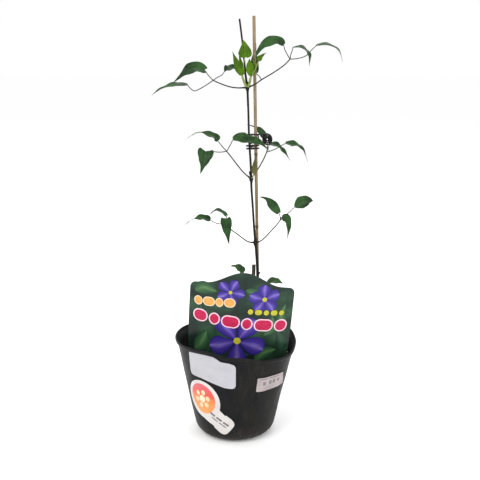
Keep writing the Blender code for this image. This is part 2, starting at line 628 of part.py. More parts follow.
LOWER_RIGHT = (
    {"stalk": ((54.2, -9.8, 271), (54.1, -10.2, 274.8), (53.4, -10.6, 277.8)),
     "rib": ((52, -10.8, 280.3), (48, -11.8, 286), (43.9, -12.9, 291.2), (39.5, -13.8, 296),
             (33.8, -14.6, 299.1), (28.4, -15, 299.9)),
     "width": 11.2, "face": (-0.3, -0.85, 0.4), "lobe": 0.1, "drip": 0.5, "belly": 0.6},
    {"stalk": ((54.2, -9.8, 271), (54.7, -10.5, 273.2), (55.3, -11.2, 274.6)),
     "rib": ((56.1, -12, 275), (60.7, -13.4, 274.2), (63.5, -14.8, 269.4), (64, -15.8, 261.4),
             (62.5, -16, 248.8)),
     "width": 10.6, "face": (0.4, -0.85, 0.3), "lobe": 0.03, "drip": 0.1},
    {"stalk": ((54.2, -9.8, 271), (58.4, -10.8, 275), (63, -12, 279.4), (67.4, -13.2, 284)),
     "rib": ((70.8, -14, 287.7), (76.1, -15.2, 291.8), (81.6, -16.4, 294.6), (87.3, -17.6, 296.2),
             (92.1, -19, 296)),
     "width": 15, "face": (-0.2, -0.92, 0.35), "drip": 0, "belly": 0.8, "lobe": 0.05},
)
BASE_LEFT_PETIOLE = ((16, -2.4, 167), (12.4, -5.4, 180), (11.9, -4, 194))
BASE_LEFT = (
    {"stalk": ((11.9, -4.1, 193.2), (12.2, -3.4, 199), (11.4, -2.8, 202.4)),
     "rib": ((11, -2.6, 205), (6.8, -3.4, 209.2), (0.6, -5, 212.8), (-5.9, -6, 213.4)),
     "width": 10.5, "face": (-0.2, -0.6, 0.8), "drip": 0.15},
)
BASE_RIGHT_PETIOLE = ((28.4, 0.6, 165.5), (33, -1.8, 174), (36.2, -2.4, 185))
BASE_RIGHT = (
    {"stalk": ((36, -2.4, 184.2), (37.3, -2.2, 188), (38.2, -2.1, 191)),
     "rib": ((39.2, -2, 192.8), (44.8, -4, 194.5), (51.6, -7, 194.6), (58.9, -9, 192.2)),
     "width": 10.5, "face": (0.2, -0.6, 0.8), "drip": 0, "lobe": 0.03, "belly": 0.85, "wave": 0.06},
)
SHOOT_LEFT_STEM = ((12.4, -0.6, 428.8), (10.5, -2.2, 433.5), (8.9, -3.1, 437.6))
SHOOT_LEFT = (
    {"stalk": ((8.9, -3.5, 436.8), (8.4, -3.9, 438.4), (8.2, -4.1, 439.3)),
     "rib": ((8.1, -4.2, 439.9), (5.6, -5.6, 446), (2.9, -6.8, 452.6), (0.6, -7.8, 458.8), (-2.4, -8.6, 466.1)),
     "width": 9, "face": (-0.35, -0.9, 0.2), "fold": 0.35, "belly": 0.62, "drip": 0.1},
    {"stalk": ((8.9, -2.9, 436.8), (9.1, -2.9, 438.4), (9.1, -3, 439.4)),
     "rib": ((9.1, -3, 440.5), (7.9, -2.4, 448.2), (6.5, -1.6, 456.2), (5.3, -0.8, 464)),
     "width": 7, "face": (0.4, -0.9, 0.1), "fold": 0.4, "drip": 0.1},
    {"stalk": ((9.4, -3.4, 435.8), (9.8, -4.8, 444.4), (10.3, -5.6, 451.6), (11.3, -5.4, 457.3)),
     "rib": ((12, -5.2, 459.7), (12, -5.6, 465.5), (11.4, -5.2, 472.1), (9.8, -4, 479.1)),
     "width": 15.5, "face": (0.05, -1, 0.1), "fold": 0.25, "drip": 0, "belly": 0.5, "lobe": 0.06},
)
SHOOT_RIGHT_STEM = ((16.5, -1.2, 428.6), (17.6, -1.7, 432.2), (18.5, -1.2, 436.8))
SHOOT_RIGHT = (
    {"stalk": ((18.5, -1.3, 435.8), (18.5, -1.5, 437), (18.5, -1.7, 437.6)),
     "rib": ((18.5, -1.8, 438.3), (17.9, -2.3, 445), (17.3, -2.3, 451.5), (17.1, -1.8, 458.4)),
     "width": 9, "face": (-0.2, -1, 0), "fold": 0.3, "belly": 0.8, "drip": 0},
    {"stalk": ((18.6, -1.1, 436), (21.8, -1, 442.8), (24.9, -0.9, 449.1), (27.2, -0.3, 454.3)),
     "rib": ((27.7, 0, 456.2), (29.7, 0.3, 459.4), (32.5, 0.6, 462.1), (36.8, 1, 465.2)),
     "width": 7, "face": (-0.4, -0.85, 0.3), "fold": 0.3, "belly": 0.42, "drip": 0.1, "stalk_radius": 0.75},
    {"stalk": ((18.7, -0.9, 436), (19.5, -0.7, 438), (20, -0.6, 439)),
     "rib": ((20.4, -0.5, 439.8), (21.7, -0.4, 446), (21.9, -0.2, 452.2), (21.7, 0.2, 458.5)),
     "width": 6.5, "face": (0.4, -0.9, 0), "fold": 0.35},
)
SHOOT_MIDDLE_STEM = ((21.1, 0.4, 320.8), (21.9, -0.1, 322), (22.4, -0.4, 323.6))
SHOOT_MIDDLE = (
    {"stalk": ((22.2, -0.3, 322.8), (22.4, -0.4, 324), (22.5, -0.5, 324.8)),
     "rib": ((22.8, -0.6, 325.8), (23.6, -1, 332), (24.2, -1, 339), (24.3, -0.6, 346.4)),
     "width": 7.5, "face": (-0.3, -0.95, 0), "fold": 0.3, "drip": 0.1},
)


def make_leaves(parts):
    young_node = (NODE_RADIUS, NODE_STRETCH)
    old_node = (OLD_NODE_RADIUS, OLD_NODE_STRETCH)
    borne = (
        ("leaf_upper_left", NODE_UPPER, young_node, UPPER_LEFT_PETIOLE, UPPER_LEFT, MATURE),
        ("leaf_upper_right", NODE_UPPER, young_node, UPPER_RIGHT_PETIOLE, UPPER_RIGHT, MATURE),
        ("leaf_middle_left", NODE_MIDDLE, young_node, MIDDLE_LEFT_PETIOLE, MIDDLE_LEFT, MATURE),
        ("leaf_middle_right", NODE_MIDDLE, young_node, MIDDLE_RIGHT_PETIOLE, MIDDLE_RIGHT, MATURE),
        ("leaf_lower_left", NODE_LOWER, young_node, LOWER_LEFT_PETIOLE, LOWER_LEFT, MATURE),
        ("leaf_lower_right", NODE_LOWER, young_node, LOWER_RIGHT_PETIOLE, LOWER_RIGHT, MATURE),
        ("leaf_base_left", OLD_NODE_LOW, old_node, BASE_LEFT_PETIOLE, BASE_LEFT, MATURE),
        ("leaf_base_right", OLD_NODE_LOW, old_node, BASE_RIGHT_PETIOLE, BASE_RIGHT, MATURE),
        ("shoot_upper_left", NODE_UPPER, young_node, SHOOT_LEFT_STEM, SHOOT_LEFT, YOUNG),
        ("shoot_upper_right", NODE_UPPER, young_node, SHOOT_RIGHT_STEM, SHOOT_RIGHT, YOUNG),
        ("shoot_middle", NODE_MIDDLE, young_node, SHOOT_MIDDLE_STEM, SHOOT_MIDDLE, OLIVE),
    )
    for name, node, shape, petiole, leaflets, habit in borne:
        start = seated(node, *shape, petiole[0])
        make_leaf(name, (start,) + petiole, leaflets, parts, **habit)


# Wire tie

def at_height(route, height):
    """Where a route that runs upwards passes a height."""
    for start, end in zip(route, route[1:]):
        if start[2] <= height <= end[2]:
            share = (height - start[2]) / (end[2] - start[2])
            return Vector(start).lerp(Vector(end), share)
    return Vector(route[-1])


def tie_route():
    """Two close turns round stem and cane, a climb, one turn above, and the spare end wound in a flat coil."""
    wire = (WIRE_RADIUS + GAP) / MM + WIRE_SPARE
    levels = ((0.0, TIE_LOW), (0.9, TIE_LOW), (1.15, TIE_LOW + TIE_TURN_GAP), (1.9, TIE_LOW + TIE_TURN_GAP),
              (2.45, TIE_HIGH), (TIE_TURNS, TIE_HIGH))
    route = []
    for index in range(int(TIE_TURNS * TIE_STEPS) + 1):
        turn = index / TIE_STEPS
        height = TIE_LOW
        for (start, low), (end, high) in zip(levels, levels[1:]):
            if start <= turn <= end:
                height = low + (high - low) * smoothstep((turn - start) / (end - start))
        stem = at_height(STEM, height)
        cane = at_height((CANE_FOOT, CANE_TOP), height)
        outward = Vector((sin(2 * pi * turn), -cos(2 * pi * turn), 0))
        rounds = ((stem, STEM_GIRTH + wire + WIRE_SLACK), (cane, CANE_RADIUS / MM + wire))
        centre, reach = max(rounds, key=lambda pair: pair[0].dot(outward) + pair[1])
        route.append(centre + outward * reach)
    centre = Vector(COIL_CENTRE)
    outer, inner = COIL_SIZE
    count = int(2 * COIL_TURNS * TIE_STEPS)
    for index in range(1, count + 1):
        turned_by = index / TIE_STEPS
        inward = abs(1 - turned_by / COIL_TURNS)
        angle = COIL_START - 2 * pi * turned_by
        size = inner + (outer - inner) * inward
        back = COIL_LAYER * smoothstep(turned_by - COIL_TURNS + 0.5)
        route.append(centre + Vector((size * cos(angle), back, size * COIL_STRETCH * sin(angle))))
    return route


def make_tie(parts):
    tie = tube("wire_tie", tie_route(), (WIRE_RADIUS / MM, WIRE_RADIUS / MM), parts, sides=6, smoothed=False)
    smooth(tie)
    paint(tie, (0.008, 0.008, 0.009), 0.3)


# Picture card

def card_top(across):
    """Height of the card's top edge: shoulders that fall a little, rounded corners and a bell-shaped crest."""
    height = CARD_SHOULDER - CARD_EDGE_DROP * (2 * across / CARD_WIDTH) ** 2
    inset = CARD_WIDTH / 2 - abs(across)
    if inset < CARD_CORNER:
        height -= CARD_CORNER - (CARD_CORNER ** 2 - (CARD_CORNER - inset) ** 2) ** 0.5
    from_crest = across - CARD_CREST_AT
    if abs(from_crest) < CARD_CREST_REACH:
        height += CARD_CREST * cos(pi * from_crest / (2 * CARD_CREST_REACH)) ** 2
    return height


def card_sheet(name, thickness, spare, collection):
    """The bent card. spare widens it all round, for the slot that it leaves in the soil."""
    columns, rows = 26, 3
    half = CARD_WIDTH / 2
    place = (Matrix.Translation(mm(CARD_FOOT)) @ Matrix.Rotation(CARD_ROLL, 4, "Y")
             @ Matrix.Rotation(CARD_LEAN, 4, "X"))
    bm = bmesh.new()
    bmesh.ops.create_grid(bm, x_segments=columns, y_segments=rows, size=1)
    for vertex in bm.verts:
        across = sin(vertex.co.x * pi / 2) * half
        up = (vertex.co.y + 1) / 2
        height = card_top(across) * up
        across *= 1 - 0.1 * (1 - up) ** 4 + spare / half
        turn = across / CARD_BEND
        height -= spare * (1 - up)
        vertex.co = place @ Vector((CARD_BEND * sin(turn), CARD_BEND * (1 - cos(turn)), height))
    sheet = mesh_object(name, bm, collection)
    solid = sheet.modifiers.new("Thickness", "SOLIDIFY")
    solid.thickness = thickness
    solid.offset = 0
    apply_modifiers(sheet)
    return sheet


def make_card(parts):
    card = card_sheet("picture_card", CARD_THICKNESS, 0.0, parts)
    smooth(card)
    paint(card, (0.05, 0.12, 0.08), 0.3)


# Stickers

def wall_sticker(name, outline, parts):
    """A flat cut-out, (azimuth in degrees, height in millimetres), laid on the pot's wall."""
    curve = bpy.data.curves.new(name, "CURVE")
    curve.dimensions = "2D"
    curve.fill_mode = "BOTH"
    curve.extrude = STICKER_THICKNESS / 2
    spline = curve.splines.new("POLY")
    spline.points.add(len(outline) - 1)
    spline.use_cyclic_u = True
    for point, (azimuth, height) in zip(spline.points, outline):
        point.co = (azimuth * MM, height * MM, 0, 1)
    guide = add_object(name, curve, parts)
    mesh = baked(guide)
    bpy.data.objects.remove(guide, do_unlink=True)
    bm = bmesh.new()
    bm.from_mesh(mesh)
    low = min(azimuth for azimuth, height in outline)
    high = max(azimuth for azimuth, height in outline)
    steps = int((high - low) / STICKER_FACET)
    for step in range(1, steps):
        at = (low + (high - low) * step / steps) * MM
        bmesh.ops.bisect_plane(bm, geom=bm.verts[:] + bm.edges[:] + bm.faces[:], plane_co=(at, 0, 0),
                               plane_no=(1, 0, 0), dist=1e-7)
    base = min(height for azimuth, height in outline)
    top = max(height for azimuth, height in outline)
    if top - base > TALL_STICKER:
        bmesh.ops.bisect_plane(bm, geom=bm.verts[:] + bm.edges[:] + bm.faces[:], plane_co=(0, 45 * MM, 0),
                               plane_no=(0, 1, 0), dist=1e-7)
    bmesh.ops.triangulate(bm, faces=bm.faces)
    for vertex in bm.verts:
        azimuth, height, depth = vertex.co.x / MM, vertex.co.y, vertex.co.z
        lift = 2 * GAP + STICKER_THICKNESS / 2 + depth
        vertex.co = bent(wall_radius(height) + lift, radians(azimuth), height)
    bm.to_mesh(mesh)
    bm.free()
    sticker = add_object(name, mesh, parts)
    smooth(sticker, 40)
    return sticker


def round_sticker_outline():
    """A round head, flat enough to be a circle on the wall, that runs into a straight tab."""
    flat = wall_radius(ROUND_HEAD[1] * MM) / MM
    start, end = ROUND_HEAD_ARC
    head = []
    for step in range(21):
        angle = radians(start + (end - start) * step / 20)
        azimuth = ROUND_HEAD[0] + ROUND_HEAD_RADIUS * cos(angle) / flat * 180 / pi
        head.append((azimuth, ROUND_HEAD[1] + ROUND_HEAD_RADIUS * sin(angle)))
    return head + list(ROUND_TAB)


def make_stickers(parts):
    paint(wall_sticker("name_sticker", NAME_STICKER, parts), (0.62, 0.62, 0.67), 0.5)
    paint(wall_sticker("price_sticker", PRICE_STICKER, parts), (0.50, 0.45, 0.45), 0.5)
    paint(wall_sticker("round_sticker", round_sticker_outline(), parts), (0.75, 0.70, 0.68), 0.35)


def main():
    clear_scene()
    parts = new_collection("clematis_in_pot")
    cutters = new_collection("cutters")
    make_pot(parts, cutters)
    make_soil(parts, cutters)
    make_cane(parts)
    make_old_stem(parts)
    make_stem(parts)
    make_leaves(parts)
    make_tie(parts)
    make_card(parts)
    make_stickers(parts)


main()
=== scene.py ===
"""The dressed clematis: fine leaves, stems, pot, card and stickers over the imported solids.

Everything is in metres in the solids' own frame. Routes and outlines are written in millimetres, as in the
part's source, and mm() turns them into metres. +Z is up, +X is the viewer's right and +Y points away from the
viewer. An azimuth is the angle round the pot's axis, 0 towards the viewer and growing towards their right.
"""

from dataclasses import dataclass
from math import asin, atan2, cos, exp, floor, hypot, log, pi, radians, sin, tan
from random import Random

import bmesh
import bpy
from mathutils import Matrix, Vector, noise


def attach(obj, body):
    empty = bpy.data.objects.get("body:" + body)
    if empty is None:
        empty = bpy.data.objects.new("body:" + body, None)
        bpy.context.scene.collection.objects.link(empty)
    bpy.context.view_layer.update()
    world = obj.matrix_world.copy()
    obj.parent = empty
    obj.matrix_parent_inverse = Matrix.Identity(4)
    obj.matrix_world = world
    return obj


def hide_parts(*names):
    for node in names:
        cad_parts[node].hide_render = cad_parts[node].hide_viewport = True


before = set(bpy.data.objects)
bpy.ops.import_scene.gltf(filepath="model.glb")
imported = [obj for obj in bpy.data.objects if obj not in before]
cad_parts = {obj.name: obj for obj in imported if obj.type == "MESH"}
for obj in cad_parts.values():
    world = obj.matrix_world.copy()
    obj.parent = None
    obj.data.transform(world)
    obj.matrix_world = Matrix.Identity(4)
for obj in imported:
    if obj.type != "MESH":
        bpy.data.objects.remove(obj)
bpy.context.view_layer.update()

MM = 0.001

# Camera and light: a lamp is (name, place, size, power, colour)
CAMERA_PLACE = (0.0063, -0.886, 0.449)
CAMERA_PITCH = radians(13)
CAMERA_LENS = 56.25
SENSOR_WIDTH = 36
FLOOR_DROP = 0.0005
LAMP_AIM = (0, 0, 0.2)
LAMPS = (("key", (-0.9, -1.1, 1.5), 1.0, 17.0, (1.0, 0.985, 0.96)),
         ("fill", (1.3, -0.9, 0.9), 1.2, 7.0, (0.97, 0.985, 1.0)),
         ("back", (0.3, 1.2, 1.4), 1.2, 9.0, (1.0, 1.0, 1.0)))

# Pot: as in the part's source. The lip's points are (inward from the rim, down from the top).
POT_HEIGHT = 118
RIM_RADIUS = 75
WALL_TOP_RADIUS = 73
WALL_SLOPE = tan(radians(12))
WALL = 1.3
FOOT_CORNER = 15
LIP_HEIGHT = 5
LIP = ((2.3, 2.6), (2.1, 1.2), (1.7, 0.4), (1.1, 0), (0.5, 0.2), (0.1, 0.8), (0, 1.6), (0.2, 2.6), (0.6, 4.1),
       (1.2, 4.7))
DRAIN_HOLES = 8
DRAIN_RADIUS = 4.5
DRAIN_CIRCLE = 25
BEND_START = 30
RIM_LIFT = ((-150, 3), (-110, 5), (-70, 5), (-30, 8), (5, 2.5), (35, -4), (62, -6.5), (90, 0), (118, 5),
            (165, 1))
DENT_DEPTH = 0.4
POT_STEPS = 180
COLLAR_DROP = 19
COLLAR_STEP = 0.3
RING_DROP = 24
RING_STEP = 0.22

# Soil: a side ring is (height, gap to the wall)
SOIL_LEVEL = 97
SOIL_LUMP = 1.6
SOIL_GAP = 0.35
SOIL_RINGS = 62
SOIL_SIDE = ((80, 0.9), (54, 0.9), (28, 0.9), (12, 2.4))
SOIL_FOOT = WALL + 0.3
CRUMBS = 2300
FIBRES = 46
FIBRE_STEP = 1.7

# Cane and stems
CANE_FOOT = (31.7, 9.5, 16)
CANE_TOP = (22.2, 7.5, 506)
CANE_RADIUS = 1.85
CANE_NODES = (62, 148, 243, 331, 428)
CANE_STAINS = ((453.5, 0.75, 1.0), (344, 0.95, 0.9))  # height, how far it fades in centimetres, strength
OLD_STEM = ((17.5, 2.5, 74), (19.5, 3.6, 110), (21.4, 4.8, 150), (22.6, 5.4, 186), (23.2, 5.4, 212))
OLD_STEM_RADII = (2.8, 2.6, 2.5, 2.3, 2.2)
OLD_NODE_LOW = (21.8, 5, 160)
OLD_NODE_HIGH = (22.6, 5.4, 188)
OLD_NODE_SIZE = (3.2, 3.1, 3.5)
BARK_STRIPS = 16
STEM = ((27.1, 3.9, 189), (27.8, 2.8, 195), (27.9, 2.2, 203), (27, 2.2, 219), (25.8, 2.3, 233),
        (24.9, 2.5, 241), (23.4, 2.7, 259), (21.5, 3, 287), (20.1, 3, 306), (19.7, 3, 318.5),
        (19.2, 3.2, 333), (18.1, 3.5, 350), (16.9, 3.8, 370), (16.1, 3.6, 397), (15.3, 3.3, 416),
        (14.8, 3, 425.6), (12.6, 3.4, 441), (10.8, 4.4, 460), (8.9, 4.8, 478), (5.7, 5, 502.5))
STEM_RADII = (1.2, 1.6, 1.7, 1.6, 1.5, 1.4, 1.25, 1.2, 1.2, 1.25, 1.2, 1.15, 1.1, 1.1, 1.2, 1.3, 1.15, 1.05,
              1.0, 0.95)
BARK_GIRTH = 1.12  # the bark of the climbing stem stands a little proud of its solid
NODE_UPPER = (14.8, 3, 425.6)
NODE_MIDDLE = (19.7, 3, 318.5)
NODE_LOWER = (24.9, 2.5, 240.5)
NODE_SIZE = (2.5, 2.25, 2.875)
BUDS = (((19.4, 4.2, 320.4), (18.2, 5.3, 324.2), (17, 6, 327.6)),
        ((28.1, 2.2, 200), (29.8, 1.9, 202.2), (31.2, 1.2, 204)),
        ((15.2, 4.6, 427), (15.6, 5.8, 429.6), (15.7, 6.2, 432)),
        ((25.2, 4.2, 241.8), (25.8, 5.4, 244), (25.9, 5.8, 246)))
LEAF_SEAT = 1.4  # how far from its node's middle a petiole starts

# Blades: half widths, grooves (depth, breadth) and half thicknesses
BASE_HALF_WIDTH = 0.8
TIP_HALF_WIDTH = 0.14
EDGE_WAVES = 2.4
LEVEL_AT = 0.4  # share of the half width at which a folded blade is level with its rib's route
MIDRIB_GROOVE = (0.16, 0.45)
SIDE_VEIN_AT = 0.46
SIDE_VEIN_GROOVE = (0.07, 0.3)
PUCKER = 0.05
PUCKER_SPACING = 3.4
MIDDLE_THICKNESS = 0.17
EDGE_THINNING = 0.09

# Wire tie
WIRE_RADIUS = 0.85
STEM_GIRTH = 1.2
WIRE_SPARE = 0.56
WIRE_SLACK = 0.9
TIE_LOW = 354.6
TIE_TURN_GAP = 3.4
TIE_HIGH = 371.0
TIE_TURNS = 3.25
TIE_STEPS = 14
COIL_CENTRE = (38.6, 3.0, 365.2)
COIL_START = radians(140)
COIL_SIZE = (5.9, 1.0)
COIL_TURNS = 2.6
COIL_LAYER = 2.05
COIL_STRETCH = 1.2

# Picture card, and the shapes printed on it at (across, height)
CARD_WIDTH = 129
CARD_SHOULDER = 116.3
CARD_EDGE_DROP = 6.5
CARD_CREST = 15
CARD_CREST_REACH = 46
CARD_CREST_AT = 1.5
CARD_CORNER = 6.5
CARD_THICKNESS = 0.8
CARD_BEND = 137
CARD_FOOT = (1.7, -27.5, 86)
CARD_ROLL = radians(4.1)
CARD_LEAN = radians(8)
PRINT_STEP = 0.035  # how much prouder each level of print stands, in millimetres
BAR_LEVEL = 7.0
CARD_LEAVES = (  # three points of the spine, half width
    ((-58, 100), (-46, 106), (-30, 104), 8.5), ((-52, 58), (-47, 70), (-50, 84), 8),
    ((-56, 22), (-46, 34), (-40, 50), 9), ((-30, 12), (-28, 26), (-34, 42), 8),
    ((22, 14), (33, 26), (48, 30), 8.5), ((56, 24), (54, 42), (46, 56), 8),
    ((56, 60), (50, 74), (54, 90), 7), ((-24, 84), (-14, 96), (-12, 112), 8),
    ((4, 110), (16, 104), (22, 90), 7), ((-6, 72), (8, 66), (20, 70), 6),
    ((30, 50), (40, 60), (38, 76), 7), ((-4, 14), (4, 22), (14, 24), 6))
BLOSSOMS = (  # centre, length of a petal, its half width, first angle, level, radius of the middle
    ((-2, 42), 36, 12.5, 54, 2.0, 4.4),
    ((27, 98), 19, 8.0, 20, 3.2, 2.8),
    ((-14, 105), 17, 6.5, 65, 4.4, 2.2))
BAR_ROWS = (  # start, end, lengths of the bars, half width, rim, inks of rim and bar
    ((-57, 88), (-8, 92), (9, 13, 8, 12), 4.9, 1.0, (1, 2)),
    ((8, 82), (53, 79), (6.5, 8.5, 6.5, 8.5, 6.5), 3.4, 0.5, (3, 4)),
    ((-57, 70), (57, 62), (16, 11, 20, 11, 21, 14), 6.6, 1.5, (5, 6)))
BAR_INKS = ("yellow", "cream", "orange", "dark", "yellow", "pink", "crimson")

# Stickers: outlines as (azimuth in degrees, height in millimetres) on the pot before its rim was bent
NAME_STICKER = ((-50, 112.2), (-36, 112.4), (-20.5, 112.4), (-17, 110.8), (-14, 108.8), (-5, 109.4),
                (-0.6, 108.2), (1.2, 105), (1.2, 81), (-0.4, 77.8), (-4, 76.8), (-11, 76.8), (-26, 79.6),
                (-38, 82.3), (-50, 83.6), (-52.6, 85.4), (-53, 89))
PRICE_STICKER = ((24, 92.5), (38, 93.5), (57, 94.5), (58.5, 93.5), (64.5, 74.5), (43, 74), (25, 73.2),
                 (23.4, 74.2))
ROUND_HEAD = (-40, 55)
ROUND_HEAD_RADIUS = 24.0
ROUND_HEAD_ARC = (-20, 262)
ROUND_TAB = ((-29, 22), (-19, 14), (-14.4, 12.8), (-10, 14.6), (-3.7, 22), (-0.6, 26.5), (-0.6, 30.5),
             (-3.4, 35), (-10.7, 41))
STICKER_LIFT = 0.55
DISC_CENTRE = (-40.5, 56.5)
DISC_RADIUS = 18.5
DOT_CIRCLE = 8.6
DOTS = 6
ROUND_BARS = (((-31.5, 42.0), (-25.0, 37.6), 1.3), ((-23.2, 36.4), (-16.6, 31.9), 1.3),
              ((-14.8, 30.7), (-8.0, 26.2), 1.3), ((-29.5, 35.5), (-22.0, 30.4), 0.7),
              ((-20.6, 29.4), (-11.4, 23.2), 0.7))  # start, end, half height
PRICE_BARS = (((27, 90.6), (36, 91.0), 0.5), ((38, 91.1), (52, 91.7), 0.5), ((31, 84.2), (34, 84.4), 2.2),
              ((38.5, 84.6), (41.5, 84.8), 2.4), ((43.5, 84.9), (46.5, 85.1), 2.4),
              ((50, 85.6), (53, 85.8), 2.2))

# Colours of the print: ink, its other tone
INKS = {
    "yellow": ((0.52, 0.50, 0.03), (0.44, 0.40, 0.03)),
    "cream": ((0.80, 0.68, 0.50), (0.74, 0.60, 0.42)),
    "orange": ((0.85, 0.38, 0.10), (0.78, 0.30, 0.07)),
    "dark": ((0.015, 0.022, 0.012), (0.02, 0.03, 0.018)),
    "pink": ((0.86, 0.60, 0.70), (0.82, 0.54, 0.64)),
    "crimson": ((0.52, 0.012, 0.075), (0.44, 0.008, 0.06)),
    "dot": ((0.86, 0.62, 0.40), (0.80, 0.50, 0.28)),
    "grey": ((0.12, 0.11, 0.12), (0.18, 0.16, 0.17)),
}
GLOSS_COAT = {"Coat Weight": 0.12, "Coat Roughness": 0.2}


def mm(point):
    return Vector(point) * MM


def smoothstep(value):
    value = min(max(value, 0.0), 1.0)
    return value * value * (3 - 2 * value)


def around(azimuth, radius):
    return radius * sin(azimuth), -radius * cos(azimuth)


# Objects

def add_object(name, data):
    obj = bpy.data.objects.new(name, data)
    bpy.context.scene.collection.objects.link(obj)
    return obj


def mesh_of(name, bm):
    mesh = bpy.data.meshes.new(name)
    bm.to_mesh(mesh)
    bm.free()
    return mesh


def dress(mesh, skins, sharp):
    """Shades the mesh smooth up to an angle in degrees and gives it its materials."""
    mesh.shade_smooth()
    mesh.set_sharp_from_angle(angle=radians(sharp))
    for skin in skins:
        mesh.materials.append(skin)


def finished(name, bm, skins, sharp=60):
    mesh = mesh_of(name, bm)
    dress(mesh, skins, sharp)
    return add_object(name, mesh)


def baked(obj):
    graph = bpy.context.evaluated_depsgraph_get()
    return bpy.data.meshes.new_from_object(obj.evaluated_get(graph))


def stands_for(obj, slot, *nodes):
    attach(obj, "root")
    if nodes:
        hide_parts(*nodes)


# Curves

def spline_point(points, at):
    """A point on the Catmull-Rom curve through the points, at from 0 to 1."""
    spans = len(points) - 1
    place = min(max(at, 0.0), 1.0) * spans
    index = min(floor(place), spans - 1)
    share = place - index
    second, third = points[index], points[index + 1]
    first = points[index - 1] if index else second * 2 - third
    fourth = points[index + 2] if index + 2 <= spans else third * 2 - second
    return 0.5 * (2 * second + (third - first) * share
                  + (2 * first - 5 * second + 4 * third - fourth) * share ** 2
                  + (3 * second - first - 3 * third + fourth) * share ** 3)


def between(values, at):
    place = min(max(at, 0.0), 1.0) * (len(values) - 1)
    index = min(floor(place), len(values) - 2)
    return values[index] + (values[index + 1] - values[index]) * (place - index)


def eased(stops, at):
    """A value between stops of (place, value), which changes softly from each stop to the next."""
    for (start, low), (end, high) in zip(stops, stops[1:]):
        if start <= at <= end:
            return low + (high - low) * smoothstep((at - start) / (end - start))
    return stops[-1][1]


def smooth_route(points, per_span):
    route = [Vector(point) for point in points]
    count = (len(route) - 1) * per_span
    return [spline_point(route, index / count) for index in range(count + 1)]


def heading(route, index):
    """Direction of the route at one of its points."""
    return (route[min(index + 1, len(route) - 1)] - route[max(index - 1, 0)]).normalized()


def rod(bm, route, radius, sides=12, skin=0, shape=None):
    """Adds a closed rod along the route. radius(share) is in millimetres. shape(angle, share) scales it."""
    uv = bm.loops.layers.uv.verify()
    last = len(route) - 1
    tangents = [heading(route, index) for index in range(last + 1)]
    first = tangents[0]
    guide = Vector((0, 0, 1)) if abs(first.z) < 0.7 else Vector((0, -1, 0))
    across = (guide - first * guide.dot(first)).normalized()
    angles = [2 * pi * side / sides for side in range(sides)]
    rings = []
    lengths = [0.0]
    for index, (place, tangent) in enumerate(zip(route, tangents)):
        if index:
            across = (tangents[index - 1].rotation_difference(tangent) @ across).normalized()
            across = (across - tangent * across.dot(tangent)).normalized()
            lengths.append(lengths[-1] + (place - route[index - 1]).length)
        other = tangent.cross(across)
        share = index / last
        ring = []
        for angle in angles:
            reach = radius(share) * (shape(angle, share) if shape else 1)
            ring.append(bm.verts.new((place + (across * cos(angle) + other * sin(angle)) * reach) * MM))
        rings.append(ring)
    for level, (lower, upper) in enumerate(zip(rings, rings[1:])):
        for near in range(sides):
            far = (near + 1) % sides
            face = bm.faces.new((lower[near], lower[far], upper[far], upper[near]))
            face.material_index = skin
            spots = ((near, level), (near + 1, level), (near + 1, level + 1), (near, level + 1))
            for loop, (turn, height) in zip(face.loops, spots):
                loop[uv].uv = (turn / sides, lengths[height] * 0.05)
    for end in (rings[0][::-1], rings[-1]):
        bm.faces.new(end).material_index = skin


def slab(bm, upper, lower, skins):
    """Adds a closed thin body between two grids of points, (row, column), the first its outer side.

    skins gives the materials of the outer side, the inner side and the rim. The UV map runs across and along.
    """
    uv = bm.loops.layers.uv.verify()
    outer = [[bm.verts.new(point * MM) for point in line] for line in upper]
    inner = [[bm.verts.new(point * MM) for point in line] for line in lower]
    rows, columns = len(upper) - 1, len(upper[0]) - 1

    def face(corners, skin):
        made = bm.faces.new([side[row][column] for side, row, column in corners])
        made.material_index = skin
        for loop, (side, row, column) in zip(made.loops, corners):
            loop[uv].uv = (column / columns, row / rows)

    def rim(start, end):
        face(((outer, *start), (outer, *end), (inner, *end), (inner, *start)), skins[2])

    for row in range(rows):
        for column in range(columns):
            spots = ((row, column), (row, column + 1), (row + 1, column + 1), (row + 1, column))
            face([(outer, *spot) for spot in spots], skins[0])
            face([(inner, *spot) for spot in reversed(spots)], skins[1])
        rim((row, 0), (row + 1, 0))
        rim((row + 1, columns), (row, columns))
    for column in range(columns):
        rim((0, column + 1), (0, column))
        rim((rows, column), (rows, column + 1))


def pebble(bm, place, size, skin, seed, subdivisions=1):
    """Adds an uneven lump. place and size are in millimetres."""
    made = bmesh.ops.create_icosphere(bm, subdivisions=subdivisions, radius=1)
    pick = Random(seed)
    turn = Matrix.Rotation(pick.uniform(0, 2 * pi), 3, "Z") @ Matrix.Rotation(pick.uniform(-0.5, 0.5), 3, "X")
    for vertex in made["verts"]:
        lump = 1 + 0.35 * noise.noise(vertex.co * 1.7 + Vector((seed, 0, 0)))
        vertex.co = (turn @ (Vector(size) * lump * vertex.co) + Vector(place)) * MM
        for face in vertex.link_faces:
            face.material_index = skin


# Materials

